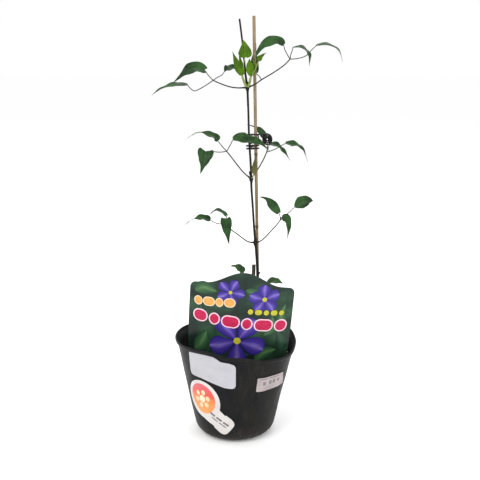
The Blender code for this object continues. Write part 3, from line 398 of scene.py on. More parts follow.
class Skin:
    """A material in the making. Its methods add nodes and return the socket with their result.
    """

    def __init__(self, name, colour, roughness, shown=None, shine=0.18, more=None):
        self.made = bpy.data.materials.new(name)
        self.made.use_nodes = True
        self.made.diffuse_color = (*(shown or colour), 1)
        self.tree = self.made.node_tree
        self.shader = self.tree.nodes["Principled BSDF"]
        plain = {"Base Color": (*colour, 1), "Roughness": roughness, "Specular IOR Level": shine}
        for key, value in {**plain, **(more or {})}.items():
            self.shader.inputs[key].default_value = value
        self.place = self.add("TexCoord", {}, "Object")
        self.plan = self.add("TexCoord", {}, "UV")

    def add(self, kind, inputs, output=0, **settings):
        """Adds a node, sets or links its inputs and returns one of its outputs."""
        node = self.tree.nodes.new("ShaderNode" + kind)
        for key, value in settings.items():
            setattr(node, key, value)
        for key, value in inputs.items():
            if isinstance(value, bpy.types.NodeSocket):
                self.tree.links.new(value, node.inputs[key])
            else:
                node.inputs[key].default_value = value
        return node.outputs[output]

    def part(self, vector, axis):
        return self.add("SeparateXYZ", {"Vector": vector}, axis)

    def grain(self, scale, detail=3.0, roughness=0.5, distortion=0.0, vector=None):
        """Noise of one scale, or of three scales along the axes."""
        vector = vector or self.place
        if isinstance(scale, tuple):
            vector = self.add("Mapping", {"Vector": vector, "Scale": scale})
            scale = 1.0
        return self.add("TexNoise", {"Vector": vector, "Scale": scale, "Detail": detail,
                                     "Roughness": roughness, "Distortion": distortion})

    def maths(self, operation, *values):
        return self.add("Math", dict(enumerate(values)), operation=operation)

    def times(self, first, second):
        return self.maths("MULTIPLY", first, second)

    def plus(self, first, second):
        return self.maths("ADD", first, second)

    def scaled(self, value, factor, offset):
        return self.maths("MULTIPLY_ADD", value, factor, offset)

    def largest(self, first, second):
        return self.maths("MAXIMUM", first, second)

    def apart(self, value, level):
        """How far the value is from a level, on either side."""
        return self.maths("ABSOLUTE", self.maths("SUBTRACT", value, level))

    def folded(self, value):
        """1 where the value is 0 or 1, and 0 halfway between."""
        return self.maths("ABSOLUTE", self.scaled(value, 2.0, -1.0))

    def ramp(self, value, *stops):
        """Colour or grey by value: each stop is (position, colour or grey)."""
        node = self.tree.nodes.new("ShaderNodeValToRGB")
        self.tree.links.new(value, node.inputs[0])
        band = node.color_ramp
        while len(band.elements) < len(stops):
            band.elements.new(0.5)
        for element, (position, colour) in zip(band.elements, stops):
            element.position = position
            element.color = (*colour, 1) if isinstance(colour, tuple) else (colour, colour, colour, 1)
        return node.outputs[0]

    def mix(self, share, first, second):
        first, second = ((*colour, 1) if isinstance(colour, tuple) else colour for colour in (first, second))
        return self.add("Mix", {0: share, 6: first, 7: second}, 2, data_type="RGBA")

    def tint(self, first, second, value, *stops):
        """The first colour, and the second where the ramp of the value is white."""
        return self.mix(self.ramp(value, *stops), first, second)

    def finish(self, colour, roughness=None, height=None, depth=0.0, strength=1.0):
        """Links the height as a bump of that depth in metres."""
        links = {"Base Color": colour, "Roughness": roughness}
        if height:
            links["Normal"] = self.add("Bump", {"Height": height, "Distance": depth, "Strength": strength})
        for key, value in links.items():
            if value:
                self.tree.links.new(value, self.shader.inputs[key])
        return self.made


def leaf_skin(name, deep, light, vein, roughness, vein_share, shine=0.18, glow=None):
    """One side of a blade: mottled green, with a midrib, two arched side veins and fine cross veins."""
    skin = Skin(name, light, roughness, deep, shine, glow)
    out = skin.folded(skin.part(skin.plan, "X"))
    midrib = skin.ramp(out, (0.0, 1.0), (0.045, 0.75), (0.09, 0.0))
    side_vein = skin.ramp(skin.apart(out, SIDE_VEIN_AT), (0.0, 0.8), (0.03, 0.35), (0.07, 0.0))
    turn = skin.scaled(skin.part(skin.plan, "Y"), 13.0, skin.times(out, -2.2))
    turn = skin.plus(turn, skin.times(skin.grain(160.0, 2.0), 0.9))
    cross_vein = skin.ramp(skin.folded(skin.maths("FRACT", turn)), (0.0, 0.55), (0.1, 0.0))
    veins = skin.largest(midrib, skin.largest(side_vein, cross_vein))
    broad = skin.grain(75.0, 4.0, 0.55)
    green = skin.tint(deep, light, broad, (0.38, 0.0), (0.64, 1.0))
    green = skin.tint(green, deep, skin.grain(900.0, 3.0, 0.6), (0.35, 0.12), (0.65, 0.0))
    green = skin.mix(skin.times(veins, vein_share), green, vein)
    cells = skin.add("TexVoronoi", {"Vector": skin.place, "Scale": 1300.0}, "Distance")
    height = skin.maths("SUBTRACT", skin.times(cells, 0.35), veins)
    return skin.finish(green, skin.scaled(broad, 0.25, roughness - 0.12), height, 0.00012, 0.55)


def make_leaf_materials():
    """Upper and lower skins of mature, young and olive leaves."""
    top = leaf_skin("leaf_top", (0.005, 0.024, 0.005), (0.025, 0.080, 0.017), (0.060, 0.130, 0.038),
                    0.42, 0.4, 0.18,
                    {"Subsurface Weight": 0.04, "Subsurface Radius": (0.0006, 0.0012, 0.0003)})
    under = leaf_skin("leaf_underside", (0.020, 0.055, 0.016), (0.036, 0.085, 0.026), (0.07, 0.125, 0.05),
                      0.62, 0.6)
    young = leaf_skin("young_leaf_top", (0.040, 0.098, 0.003), (0.082, 0.185, 0.006), (0.16, 0.27, 0.022),
                      0.4, 0.5, 0.1,
                      {"Subsurface Weight": 0.12, "Subsurface Radius": (0.0008, 0.0016, 0.0003)})
    young_under = leaf_skin("young_leaf_underside", (0.070, 0.15, 0.012), (0.12, 0.24, 0.025),
                            (0.20, 0.32, 0.06), 0.55, 0.5)
    olive = leaf_skin("olive_leaf_top", (0.060, 0.060, 0.015), (0.115, 0.112, 0.036), (0.165, 0.155, 0.06),
                      0.45, 0.4)
    return {"mature": (top, under), "young": (young, young_under), "olive": (olive, olive)}


def stalk_skin(name, dark, pale, roughness):
    skin = Skin(name, dark, roughness)
    patches = skin.grain(70.0)
    fibre = skin.grain(28.0, vector=skin.plan)
    colour = skin.tint(dark, pale, patches, (0.4, 0.0), (0.68, 1.0))
    colour = skin.tint(colour, dark, fibre, (0.4, 0.3), (0.6, 0.0))
    return skin.finish(colour, skin.scaled(patches, 0.2, roughness - 0.1), fibre, 0.0001, 0.5)


def make_bark(name, dark, pale, groove, roughness, depth):
    """Bark with fibres that run along the stem."""
    skin = Skin(name, dark, roughness)
    strands = skin.grain((900.0, 900.0, 55.0), 4.0, 0.6)
    patches = skin.grain(45.0, 4.0)
    colour = skin.tint(dark, pale, patches, (0.36, 0.0), (0.66, 1.0))
    colour = skin.tint(colour, groove, strands, (0.34, 0.8), (0.52, 0.0))
    return skin.finish(colour, skin.scaled(patches, 0.25, roughness - 0.12), strands, depth, 0.7)


def make_bamboo():
    """Dry bamboo: fine fibres, browner towards the foot and at the rings, and a few dark spots."""
    skin = Skin("bamboo", (0.38, 0.27, 0.165), 0.55)
    height = skin.part(skin.place, "Z")
    strands = skin.grain((1500.0, 1500.0, 22.0), 4.0, 0.6)
    patches = skin.grain((120.0, 120.0, 26.0), 4.0, 0.6)
    specks = skin.grain((420.0, 420.0, 160.0), 2.0, 0.6)

    def band(level, strength, start, end):
        """A band at a height in millimetres, which fades out between two distances in centimetres."""
        return skin.ramp(skin.times(skin.apart(height, level * MM), 100.0), (start, strength), (end, 0.0))

    colour = skin.tint((0.20, 0.138, 0.078), (0.335, 0.245, 0.155), patches, (0.36, 0.0), (0.66, 1.0))
    colour = skin.tint(colour, (0.17, 0.115, 0.06), strands, (0.36, 0.55), (0.55, 0.0))
    low = skin.ramp(skin.times(height, 2.0), (0.42, 0.85), (0.62, 0.3), (0.78, 0.0))
    low = skin.times(low, skin.ramp(patches, (0.3, 1.0), (0.7, 0.45)))
    colour = skin.mix(low, colour, (0.115, 0.088, 0.045))
    for ring in CANE_NODES:
        colour = skin.mix(band(CANE_FOOT[2] + ring, 0.8, 0.1, 0.35), colour, (0.085, 0.05, 0.028))
    for level, fading, strength in CANE_STAINS:
        stain = skin.times(band(level, strength, 0.1, fading), skin.ramp(patches, (0.35, 1.0), (0.6, 0.25)))
        colour = skin.mix(stain, colour, (0.06, 0.04, 0.025))
    colour = skin.tint(colour, (0.09, 0.06, 0.035), specks, (0.66, 0.0), (0.74, 0.75))
    return skin.finish(colour, skin.ramp(patches, (0.3, 0.5), (0.7, 0.68)), strands, 0.0002, 0.6)


def make_pot_plastic():
    """Thin black plastic: faint moulded rings, fine scratches, dust and dried soil, most on the right, with a
    painted brownish reflection there too.
    """
    skin = Skin("black_pot_plastic", (0.006, 0.0064, 0.0074), 0.45, shine=0.11)
    clouds = skin.grain((38.0, 38.0, 22.0), 5.0, 0.6)
    streaks = skin.grain((150.0, 150.0, 16.0), 5.0, 0.65)
    dust = skin.grain(420.0, 4.0, 0.7)
    rings = skin.grain((3.0, 3.0, 420.0), 3.0, 0.6)
    scratches = skin.grain((240.0, 240.0, 30.0), 2.0, 0.5, 1.5)
    # The right side's brown-grey patches and streaks are partly dried soil and partly a painted brownish
    # reflection.
    right = skin.ramp(skin.scaled(skin.part(skin.place, "X"), 7.0, 0.5), (0.35, 0.25), (0.62, 1.0))
    soil_and_reflection = skin.times(skin.ramp(clouds, (0.42, 0.0), (0.66, 1.0)), right)
    streaks_and_reflection = skin.times(skin.ramp(streaks, (0.5, 0.0), (0.72, 1.0)), right)
    colour = skin.tint((0.0032, 0.0038, 0.0054), (0.0068, 0.0072, 0.0080), clouds, (0.3, 0.0), (0.7, 1.0))
    colour = skin.mix(skin.times(soil_and_reflection, 0.6), colour, (0.016, 0.014, 0.011))
    colour = skin.mix(skin.times(streaks_and_reflection, 0.55), colour, (0.034, 0.032, 0.029))
    specks = skin.times(skin.ramp(dust, (0.62, 0.0), (0.75, 1.0)), 0.4)
    colour = skin.mix(specks, colour, (0.075, 0.072, 0.068))
    low = skin.ramp(skin.times(skin.part(skin.place, "Z"), 10.0), (0.06, 0.7), (0.24, 0.0))
    splashes = skin.times(low, skin.ramp(dust, (0.42, 0.0), (0.6, 1.0)))
    colour = skin.mix(splashes, colour, (0.05, 0.044, 0.036))
    bumps = skin.plus(skin.times(rings, 0.5), skin.times(scratches, 0.25))
    bumps = skin.plus(bumps, skin.times(dust, 0.12))
    rough = skin.plus(skin.scaled(clouds, 0.3, 0.27), skin.times(skin.largest(soil_and_reflection, streaks_and_reflection), 0.18))
    return skin.finish(colour, rough, bumps, 0.0003, 0.5)


def make_soil_material(name, dark, pale, scale):
    skin = Skin(name, dark, 0.95)
    lumps = skin.grain(scale, 5.0, 0.7)
    colour = skin.tint(dark, pale, lumps, (0.35, 0.0), (0.68, 1.0))
    return skin.finish(colour, skin.ramp(lumps, (0.2, 0.85), (0.8, 1.0)), lumps, 0.0012, 0.9)


def make_wire_coat():
    skin = Skin("wire_coat", (0.004, 0.004, 0.005), 0.34, shine=0.2)
    dust = skin.grain(700.0)
    colour = skin.tint((0.003, 0.003, 0.0035), (0.010, 0.0095, 0.009), dust, (0.4, 0.0), (0.75, 1.0))
    return skin.finish(colour, skin.ramp(dust, (0.3, 0.28), (0.7, 0.45)), dust, 0.0001, 0.4)


def make_paper(name, colour, stain, roughness, crease):
    """Paper or pith: faint stains, fibres and creases."""
    skin = Skin(name, colour, roughness)
    clouds = skin.grain(60.0, 4.0, 0.6)
    fibres = skin.grain(1600.0, 2.0)
    folds = skin.grain((70.0, 70.0, 190.0), 3.0, 0.6, 1.2)
    paper = skin.tint(colour, stain, clouds, (0.4, 0.0), (0.75, 1.0))
    rough = skin.ramp(clouds, (0.3, roughness - 0.06), (0.7, roughness + 0.1))
    return skin.finish(paper, rough, skin.plus(skin.times(fibres, 0.06), folds), crease, 0.6)


def make_ink(name, colour, other):
    """Printed colour: a soft change of tone, under a gloss coat."""
    skin = Skin(name, colour, 0.32, more=GLOSS_COAT)
    return skin.finish(skin.tint(colour, other, skin.grain(180.0, 2.0), (0.35, 0.0), (0.65, 1.0)))


def make_card_field():
    """Printed background: dark leaves out of focus, over a near-black green."""
    skin = Skin("card_field", (0.04, 0.085, 0.05), 0.3, more=GLOSS_COAT)
    stretched = skin.add("Mapping", {"Vector": skin.place, "Scale": (34.0, 34.0, 46.0)})
    blobs = skin.add("TexVoronoi", {"Vector": stretched, "Scale": 1.0, "Smoothness": 0.8}, "Distance",
                     feature="SMOOTH_F1")
    colour = skin.tint((0.008, 0.018, 0.013), (0.030, 0.085, 0.040), blobs, (0.15, 1.0), (0.55, 0.0))
    tone = skin.grain(55.0, 3.0, 0.5, 0.6)
    return skin.finish(skin.tint(colour, (0.010, 0.028, 0.020), tone, (0.45, 0.0), (0.65, 0.8)))


def make_petal_ink(name, edge, body, streak):
    """Printed petal: darker edge, paler streak along the middle, with fine lines."""
    skin = Skin(name, body, 0.32, more=GLOSS_COAT)
    out = skin.folded(skin.part(skin.plan, "X"))
    lines = skin.grain((26.0, 3.0, 1.0), 3.0, 0.6, vector=skin.plan)
    colour = skin.tint(body, edge, out, (0.45, 0.0), (1.0, 1.0))
    along = skin.ramp(skin.part(skin.plan, "Y"), (0.0, 0.3), (0.9, 1.0))
    colour = skin.mix(skin.times(skin.ramp(out, (0.0, 1.0), (0.4, 0.0)), along), colour, streak)
    return skin.finish(skin.tint(colour, edge, lines, (0.4, 0.35), (0.6, 0.0)))


def make_disc_ink():
    """Printed disc: orange at the foot, red at the top, in soft bands."""
    skin = Skin("disc_ink", (0.75, 0.16, 0.04), 0.3, more={"Coat Weight": 0.4})
    level = skin.scaled(skin.part(skin.place, "Z"), 28.0, -1.1)
    level = skin.plus(level, skin.scaled(skin.grain(260.0), 0.5, -0.25))
    return skin.finish(skin.ramp(level, (0.0, (0.72, 0.30, 0.10)), (0.45, (0.80, 0.24, 0.06)),
                                 (0.7, (0.68, 0.07, 0.05)), (1.0, (0.62, 0.10, 0.12))))


# Pot

def rim_lift(azimuth):
    degrees_round = (azimuth * 180 / pi + 180) % 360 - 180
    (first, low), (last, high) = RIM_LIFT[0], RIM_LIFT[-1]
    return eased([(last - 360, high), *RIM_LIFT, (first + 360, low)], degrees_round)


def rim_bulge(azimuth):
    return 1.3 * sin(azimuth - radians(45)) + 1.0 * cos(2 * (azimuth - pi / 2)) - 0.4


def bend_share(height):
    return smoothstep((height - BEND_START) / (POT_HEIGHT - BEND_START))


def bent(radius, azimuth, height):
    """The place of a point of the straight pot after its soft wall has bent and dented a little."""
    share = bend_share(height)
    radius += share * rim_bulge(azimuth) * min(radius / RIM_RADIUS, 1)
    dent = noise.noise(Vector((2.2 * sin(azimuth), 2.2 * cos(azimuth), height / 32)))
    radius += DENT_DEPTH * dent * smoothstep((height - 12) / 20) * smoothstep((radius - 35) / 15)
    return Vector((*around(azimuth, radius), height + share * rim_lift(azimuth)))


def foot_radius():
    return WALL_TOP_RADIUS - (POT_HEIGHT - FOOT_CORNER) * WALL_SLOPE - FOOT_CORNER * hypot(1, WALL_SLOPE)


def wall_radius(height):
    if height < FOOT_CORNER * (1 - WALL_SLOPE / hypot(1, WALL_SLOPE)):
        return foot_radius() + (FOOT_CORNER ** 2 - (FOOT_CORNER - height) ** 2) ** 0.5
    return WALL_TOP_RADIUS - (POT_HEIGHT - height) * WALL_SLOPE


def skin_radius(height):
    """Outer radius with the collar under the rim and a faint ring below the collar."""
    below = height - POT_HEIGHT
    ring = RING_STEP * exp(-((below + RING_DROP) / 0.9) ** 2)
    return wall_radius(height) + COLLAR_STEP * smoothstep((below + COLLAR_DROP) / 1.2) + ring


def inside(azimuth, height, gap):
    """Radius at a gap from the inner side of the bent pot."""
    shift = rim_bulge(azimuth) * wall_radius(height) / RIM_RADIUS - WALL_SLOPE * rim_lift(azimuth)
    return wall_radius(height) - WALL - gap + bend_share(height) * shift


def pot_profile():
    """(radius, height) from the middle of the inner floor, up inside, over the lip and down outside."""
    arc_end = -asin(WALL_SLOPE / hypot(1, WALL_SLOPE))
    arc = [-pi / 2 + (arc_end + pi / 2) * step / 12 for step in range(13)]
    inner, outer = ([(foot_radius() + reach * cos(angle), FOOT_CORNER + reach * sin(angle)) for angle in arc]
                    for reach in (FOOT_CORNER - WALL, FOOT_CORNER))
    rise = POT_HEIGHT - LIP_HEIGHT - FOOT_CORNER
    plain = [FOOT_CORNER + rise * step / 12 for step in range(1, 13)]
    fine = [FOOT_CORNER + rise * step / 64 for step in range(1, 65)]
    wall_in = [(wall_radius(height) - WALL, height) for height in plain]
    wall_out = [(skin_radius(height), height) for height in fine]
    lip = smooth_route([(RIM_RADIUS - inward, POT_HEIGHT - down, 0) for inward, down in LIP], 2)
    lip = [(point.x, point.y) for point in lip]
    return [(0, WALL)] + inner + wall_in + lip + wall_out[::-1] + outer[::-1] + [(0, 0)]


def turned(name, profile, steps):
    bm = bmesh.new()
    verts = [bm.verts.new((radius, 0, height)) for radius, height in profile]
    for first, second in zip(verts, verts[1:]):
        bm.edges.new((first, second))
    obj = add_object(name, mesh_of(name, bm))
    screw = obj.modifiers.new("Turn", "SCREW")
    screw.axis = "Z"
    screw.steps = screw.render_steps = steps
    screw.use_merge_vertices = True
    screw.merge_threshold = 0.00001
    return obj


def make_pot(plastic):
    pot = turned("nursery_pot", pot_profile(), POT_STEPS)
    holes = []
    for index in range(DRAIN_HOLES):
        bm = bmesh.new()
        bmesh.ops.create_cone(bm, cap_ends=True, segments=32, radius1=DRAIN_RADIUS, radius2=DRAIN_RADIUS,
                              depth=10)
        angle = 2 * pi * index / DRAIN_HOLES
        bmesh.ops.translate(bm, verts=bm.verts, vec=(DRAIN_CIRCLE * cos(angle), DRAIN_CIRCLE * sin(angle), 0))
        hole = add_object("hole", mesh_of("hole", bm))
        cut = pot.modifiers.new("Drain hole", "BOOLEAN")
        cut.operation = "DIFFERENCE"
        cut.solver = "EXACT"
        cut.object = hole
        holes.append(hole)
    mesh = baked(pot)
    pot.modifiers.clear()
    pot.data = mesh
    for hole in holes:
        bpy.data.objects.remove(hole, do_unlink=True)
    for vertex in mesh.vertices:
        place = vertex.co
        vertex.co = bent(hypot(place.x, place.y), atan2(place.x, -place.y), place.z) * MM
    mesh.materials.clear()
    dress(mesh, [plastic], 35)
    stands_for(pot, "pot_plastic", "pot")


# Soil

def soil_height(x, y):
    """Lumpy top of the potting mix, in millimetres, a little higher round the stem."""
    spot = Vector((x, y, 0))
    lumps = noise.noise(spot / 9) + 0.5 * noise.noise(Vector((x * MM, y * MM, 0.02)) / (4 * MM))
    rough = 0.5 * noise.noise(spot / 1.7) + 0.25 * noise.noise(spot / 0.8)
    return SOIL_LEVEL + SOIL_LUMP * lumps + rough + 3 * exp(-((x - 20) ** 2 + y ** 2) / 900)


def soil_edge(azimuth):
    return inside(azimuth, SOIL_LEVEL, SOIL_GAP)


def on_soil(x, y, lift=0.0):
    return x, y, soil_height(x, y) + lift


def scattered(pick, margin):
    """A random spot on the soil, at least that far from its edge."""
    azimuth = pick.uniform(-pi, pi)
    return around(azimuth, (soil_edge(azimuth) - margin) * pick.uniform(0, 1) ** 0.5)


def make_bed(dark):
    """The soil's body: rings of points over its lumpy top, down its side and round its foot."""
    azimuths = [2 * pi * step / POT_STEPS - pi for step in range(POT_STEPS)]
    rings = [[on_soil(*around(azimuth, soil_edge(azimuth) * ring / SOIL_RINGS)) for azimuth in azimuths]
             for ring in range(1, SOIL_RINGS + 1)]
    rings += [[(*around(azimuth, inside(azimuth, height, gap)), height) for azimuth in azimuths]
              for height, gap in SOIL_SIDE]
    rings.append([(*around(azimuth, foot_radius()), SOIL_FOOT) for azimuth in azimuths])
    bm = bmesh.new()
    centre = bm.verts.new(mm(on_soil(0, 0)))
    grid = [[bm.verts.new(mm(point)) for point in ring] for ring in rings]
    below = bm.verts.new(mm((0, 0, SOIL_FOOT)))
    for step in range(POT_STEPS):
        after = (step + 1) % POT_STEPS
        bm.faces.new((centre, grid[0][step], grid[0][after]))
        for inner, outer in zip(grid, grid[1:]):
            bm.faces.new((inner[step], outer[step], outer[after], inner[after]))
        bm.faces.new((below, grid[-1][after], grid[-1][step]))
    stands_for(finished("potting_mix", bm, [dark], 180), "soil", "potting_soil")


def make_soil(dark, chips, perlite):
    """The bed, and on it crumbs, bark chips and white grains, and some fibres."""
    make_bed(dark)
    pick = Random(11)
    crumbs = bmesh.new()
    for index in range(CRUMBS):
        x, y = scattered(pick, 1.2)
        if index % 9 == 0:
            size = (pick.uniform(1.2, 3.6), pick.uniform(0.6, 1.2), pick.uniform(0.3, 0.7))
            kind = 1
        elif index % 31 == 0:
            size = (pick.uniform(0.8, 1.5),) * 3
            kind = 2
        else:
            reach = pick.uniform(0.35, 1.5)
            size = (reach, reach * pick.uniform(0.7, 1.1), reach * pick.uniform(0.6, 0.9))
            kind = 0
        pebble(crumbs, on_soil(x, y, size[2] * 0.25), size, kind, index)
    stands_for(finished("soil_crumbs", crumbs, [dark, chips, perlite]), "soil")

    strands = bmesh.new()
    for _ in range(FIBRES):
        x, y = scattered(pick, 8)
        way = pick.uniform(0, 2 * pi)
        route = []
        for _ in range(6):
            route.append(on_soil(x, y, 0.35))
            way += pick.uniform(-0.5, 0.5)
            x += FIBRE_STEP * cos(way)
            y += FIBRE_STEP * sin(way)
        thickness = pick.uniform(0.12, 0.28)
        rod(strands, smooth_route(route, 3), lambda share: thickness * (1 - 0.5 * share), 5)
    stands_for(finished("soil_fibres", strands, [chips]), "soil")


# Cane

def cane_radius(along):
    """Radius in millimetres at a distance along the cane, with its rings."""
    reach = CANE_RADIUS
    for ring in CANE_NODES:
        off = along - ring
        reach += 0.36 * exp(-((off - 0.2) / 0.85) ** 2) - 0.14 * exp(-((off + 1.5) / 0.6) ** 2)
        reach += 0.1 * exp(-((off - 3.2) / 2.5) ** 2)
    return reach


def top_face(bm):
    return max(bm.faces, key=lambda face: face.calc_center_median().z)


def inset(bm, cap, thickness, depth=0.0):
    """Insets the cap, in millimetres, and returns the faces round it."""
    return bmesh.ops.inset_individual(bm, faces=[cap], thickness=thickness * MM, depth=depth * MM)["faces"]


def make_cane(bamboo, pith):
    foot, top = Vector(CANE_FOOT), Vector(CANE_TOP)
    length = (top - foot).length
    marks = set(range(0, int(length), 6))
    for ring in CANE_NODES:
        marks.update(ring + step * 0.4 for step in range(-8, 18))
    marks = sorted(mark for mark in marks if mark < length - 1)
    marks += [length - 0.8, length - 0.3, length - 0.08]
    route = [foot.lerp(top, mark / length) for mark in marks]
    reach = [cane_radius(mark) for mark in marks]
    reach[-1] -= 0.35
    reach[-2] -= 0.1
    last = len(marks) - 1

    def grooved(angle, share):
        at = share * last
        broad = noise.noise(Vector((1.5 * cos(angle), 1.5 * sin(angle), at * 0.05)))
        return 1 + 0.025 * broad + 0.012 * noise.noise(Vector((6 * cos(angle), 6 * sin(angle), at * 0.02)))

    bm = bmesh.new()
    rod(bm, route, lambda share: between(reach, share), 32, 0, grooved)
    cap = top_face(bm)
    for face in inset(bm, cap, 1.0) + inset(bm, cap, 0.12, -0.7) + [cap]:
        face.material_index = 1
    stands_for(finished("cane", bm, [bamboo, pith], 40), "bamboo", "bamboo_cane")


# Stems

def swollen(route, radii, girth, nodes):
    """Radius along a stem that swells at its nodes, each given as (place, how much more, how far)."""
    last = len(route) - 1

    def reach(share):
        here = route[round(share * last)]
        swell = sum(more * exp(-((here - Vector(node)).length / spread) ** 2) for node, more, spread in nodes)
        return between(radii, share) * girth + swell

    return reach


def make_climbing_stem(bark, pith):
    route = smooth_route(STEM, 9)
    nodes = ((NODE_UPPER, 1.3, 2.6), (NODE_MIDDLE, 1.25, 2.6), (NODE_LOWER, 1.2, 2.8))

    def ribbed(angle, share):
        rough = noise.noise(Vector((2 * cos(angle), 2 * sin(angle), share * 60)))
        return 1 + 0.055 * cos(6 * angle) + 0.03 * rough

    bm = bmesh.new()
    rod(bm, route, swollen(route, STEM_RADII, BARK_GIRTH, nodes), 24, 0, ribbed)
    cap = top_face(bm)
    inset(bm, cap, 0.25)
    cap.material_index = 1
    for node, *_ in nodes:
        pebble(bm, node, NODE_SIZE, 0, len(bm.verts), 3)

    def plump(share):
        return 0.25 + 0.85 * sin(pi * min(0.25 + 0.75 * share, 1)) ** 0.8

    for bud in BUDS:
        rod(bm, smooth_route(bud, 6), plump)
    stands_for(finished("stem", bm, [bark, pith], 50), "dark_stem", "climbing_stem")


def make_old_stump(bark, pith, strip):
    """The stump: fibrous bark, a cut end with its rings, two nodes and strips of bark that come loose."""
    route = smooth_route(OLD_STEM, 16)
    nodes = ((OLD_NODE_LOW, 1.1, 3.4), (OLD_NODE_HIGH, 1.1, 3.4))
    reach = swollen(route, OLD_STEM_RADII, 1, nodes)

    def fibrous(angle, share):
        broad = noise.noise(Vector((2.4 * cos(angle), 2.4 * sin(angle), share * 9)))
        return 1 + 0.06 * broad + 0.06 * noise.noise(Vector((5 * cos(angle), 5 * sin(angle), share * 5)))

    bm = bmesh.new()
    rod(bm, route, reach, 40, 0, fibrous)
    cap = top_face(bm)
    for thickness, depth in ((0.45, 0.0), (0.9, -0.05), (0.3, -0.45)):
        for face in inset(bm, cap, thickness, depth):
            face.material_index = 1
    cap.material_index = 2
    for node, *_ in nodes:
        pebble(bm, node, OLD_NODE_SIZE, 0, len(bm.verts), 3)
    pick = Random(5)
    middle = [Vector(point) for point in OLD_STEM]
    for _ in range(BARK_STRIPS):
        angle = pick.uniform(0, 2 * pi)
        start = pick.uniform(0.18, 0.82)
        span = pick.uniform(0.05, 0.14)
        strand = []
        for step in range(5):
            share = start + span * step / 4
            out = reach(share) * (1.04 + 0.16 * (step / 4) ** 2)
            turn = angle + 0.12 * step
            strand.append(spline_point(middle, share) + Vector((cos(turn) * out, sin(turn) * out, 0)))
        width = pick.uniform(0.18, 0.4)
        rod(bm, smooth_route(strand, 3), lambda share: width * (1 - 0.6 * share), 6, 2)
    stands_for(finished("old_wood", bm, [bark, pith, strip]), "old_bark", "old_stem")


# Leaves

@dataclass
class Leaflet:
    """A leaflet in millimetres: its blade lies along the rib, and its upper side faces the way of face."""
    width: float
    face: tuple
    stalk: tuple
    rib: tuple
    lobe: float = 0.06  # how far the base reaches back beside the stalk, as a share of the length
    drip: float = 0.3  # how much the outer part narrows
    belly: float = 0.55  # the smaller, the nearer the widest place is to the base
    wave: float = 0.09  # height of the edge's waves, as a share of the width
    fold: float = 0.25  # how steeply the halves rise from the midrib
    stalk_radius: float = 0.5

    def __post_init__(self):
        self.face = Vector(self.face).normalized()
        self.rib = [Vector(point) for point in self.rib]

    def lie(self, share):
        """The rib's point at a share of its length, its direction there and the upper side's."""
        along = (spline_point(self.rib, share + 0.03) - spline_point(self.rib, share - 0.03)).normalized()
        up = (self.face - along * self.face.dot(along)).normalized()
        return spline_point(self.rib, share), along, up

    def half_width(self, share):
        narrowed = 1 - self.drip * smoothstep((share - 0.4) / 0.4)
        return self.width / 2 * (sin(pi * min(share, 1) ** self.belly) * narrowed)


@dataclass
class Habit:
    """How one kind of leaf grows: its petiole's radii at the root and beyond, and how fine its blades are."""
    root: float
    beyond: float
    taper: float
    rows: int
    columns: int
    skins: tuple


def blade_relief(out, reach, along):
    """Grooves over the veins and puckers between them; along is the distance from the base."""
    def groove(off, depth, breadth):
        return depth * exp(-(off * reach / breadth) ** 2)

    pucker = sin(2 * pi * (along / PUCKER_SPACING - out * 1.1)) * sin(pi * min(out * 1.2, 1))
    return PUCKER * pucker - groove(out, *MIDRIB_GROOVE) - groove(out - SIDE_VEIN_AT, *SIDE_VEIN_GROOVE)


def blade_sheet(leaflet, habit, seed):
    """Middle surface of a blade, as rows of points from the base to the tip."""
    length = (leaflet.rib[-1] - leaflet.rib[0]).length
    sheet = []
    for row in range(habit.rows + 1):
        share = (row / habit.rows) ** 1.15
        centre, along, up = leaflet.lie(share)
        side = along.cross(up)
        arch = sin(pi * share)
        line = []
        for column in range(habit.columns + 1):
            place = 2 * column / habit.columns - 1
            out = abs(place)
            strip, phase = (2, 0.8) if place > 0 else (7, 3.4)
            nick = 1 + 0.05 * noise.noise(Vector((seed * 3.1, share * length / 4, strip)))
            nick += 0.02 * noise.noise(Vector((seed * 3.1, share * length / 1.3, strip)))
            reach = max(leaflet.half_width(share) * nick, TIP_HALF_WIDTH if row else BASE_HALF_WIDTH)
            rise = leaflet.fold * reach * (out - LEVEL_AT)
            rise += leaflet.wave * leaflet.width * sin(2 * pi * EDGE_WAVES * share + phase) * out ** 2 * arch
            rise += 0.25 * noise.noise(Vector((share * length / 5, place * 1.6, seed * 2.3))) * arch
            if reach > 1.2:
                rise += blade_relief(out, reach, share * length)
            back = leaflet.lobe * length * max(1 - share / 0.3, 0) ** 2 * out ** 1.5
            back *= smoothstep(reach / (leaflet.width / 2) / 0.45)
            line.append(centre + side * place * reach + up * rise - along * back)
        sheet.append(line)
    return sheet


def blade(bm, leaflet, habit, seed):
    """Adds one blade: the source's sheet with fine edges, sunk veins and a pucker between them."""
    sheet = blade_sheet(leaflet, habit, seed)
    rows, columns = habit.rows, habit.columns
    upper, lower = [], []
    for row, line in enumerate(sheet):
        swings = []
        for column in range(columns + 1):
            ahead = sheet[min(row + 1, rows)][column] - sheet[max(row - 1, 0)][column]
            across = line[min(column + 1, columns)] - line[max(column - 1, 0)]
            normal = across.cross(ahead)
            normal = normal.normalized() if normal.length > 1e-6 else leaflet.face
            swings.append(normal * (MIDDLE_THICKNESS - EDGE_THINNING * abs(2 * column / columns - 1) ** 4))
        upper.append([point + swing for point, swing in zip(line, swings)])
        lower.append([point - swing for point, swing in zip(line, swings)])
    slab(bm, upper, lower, (0, 1, 1))


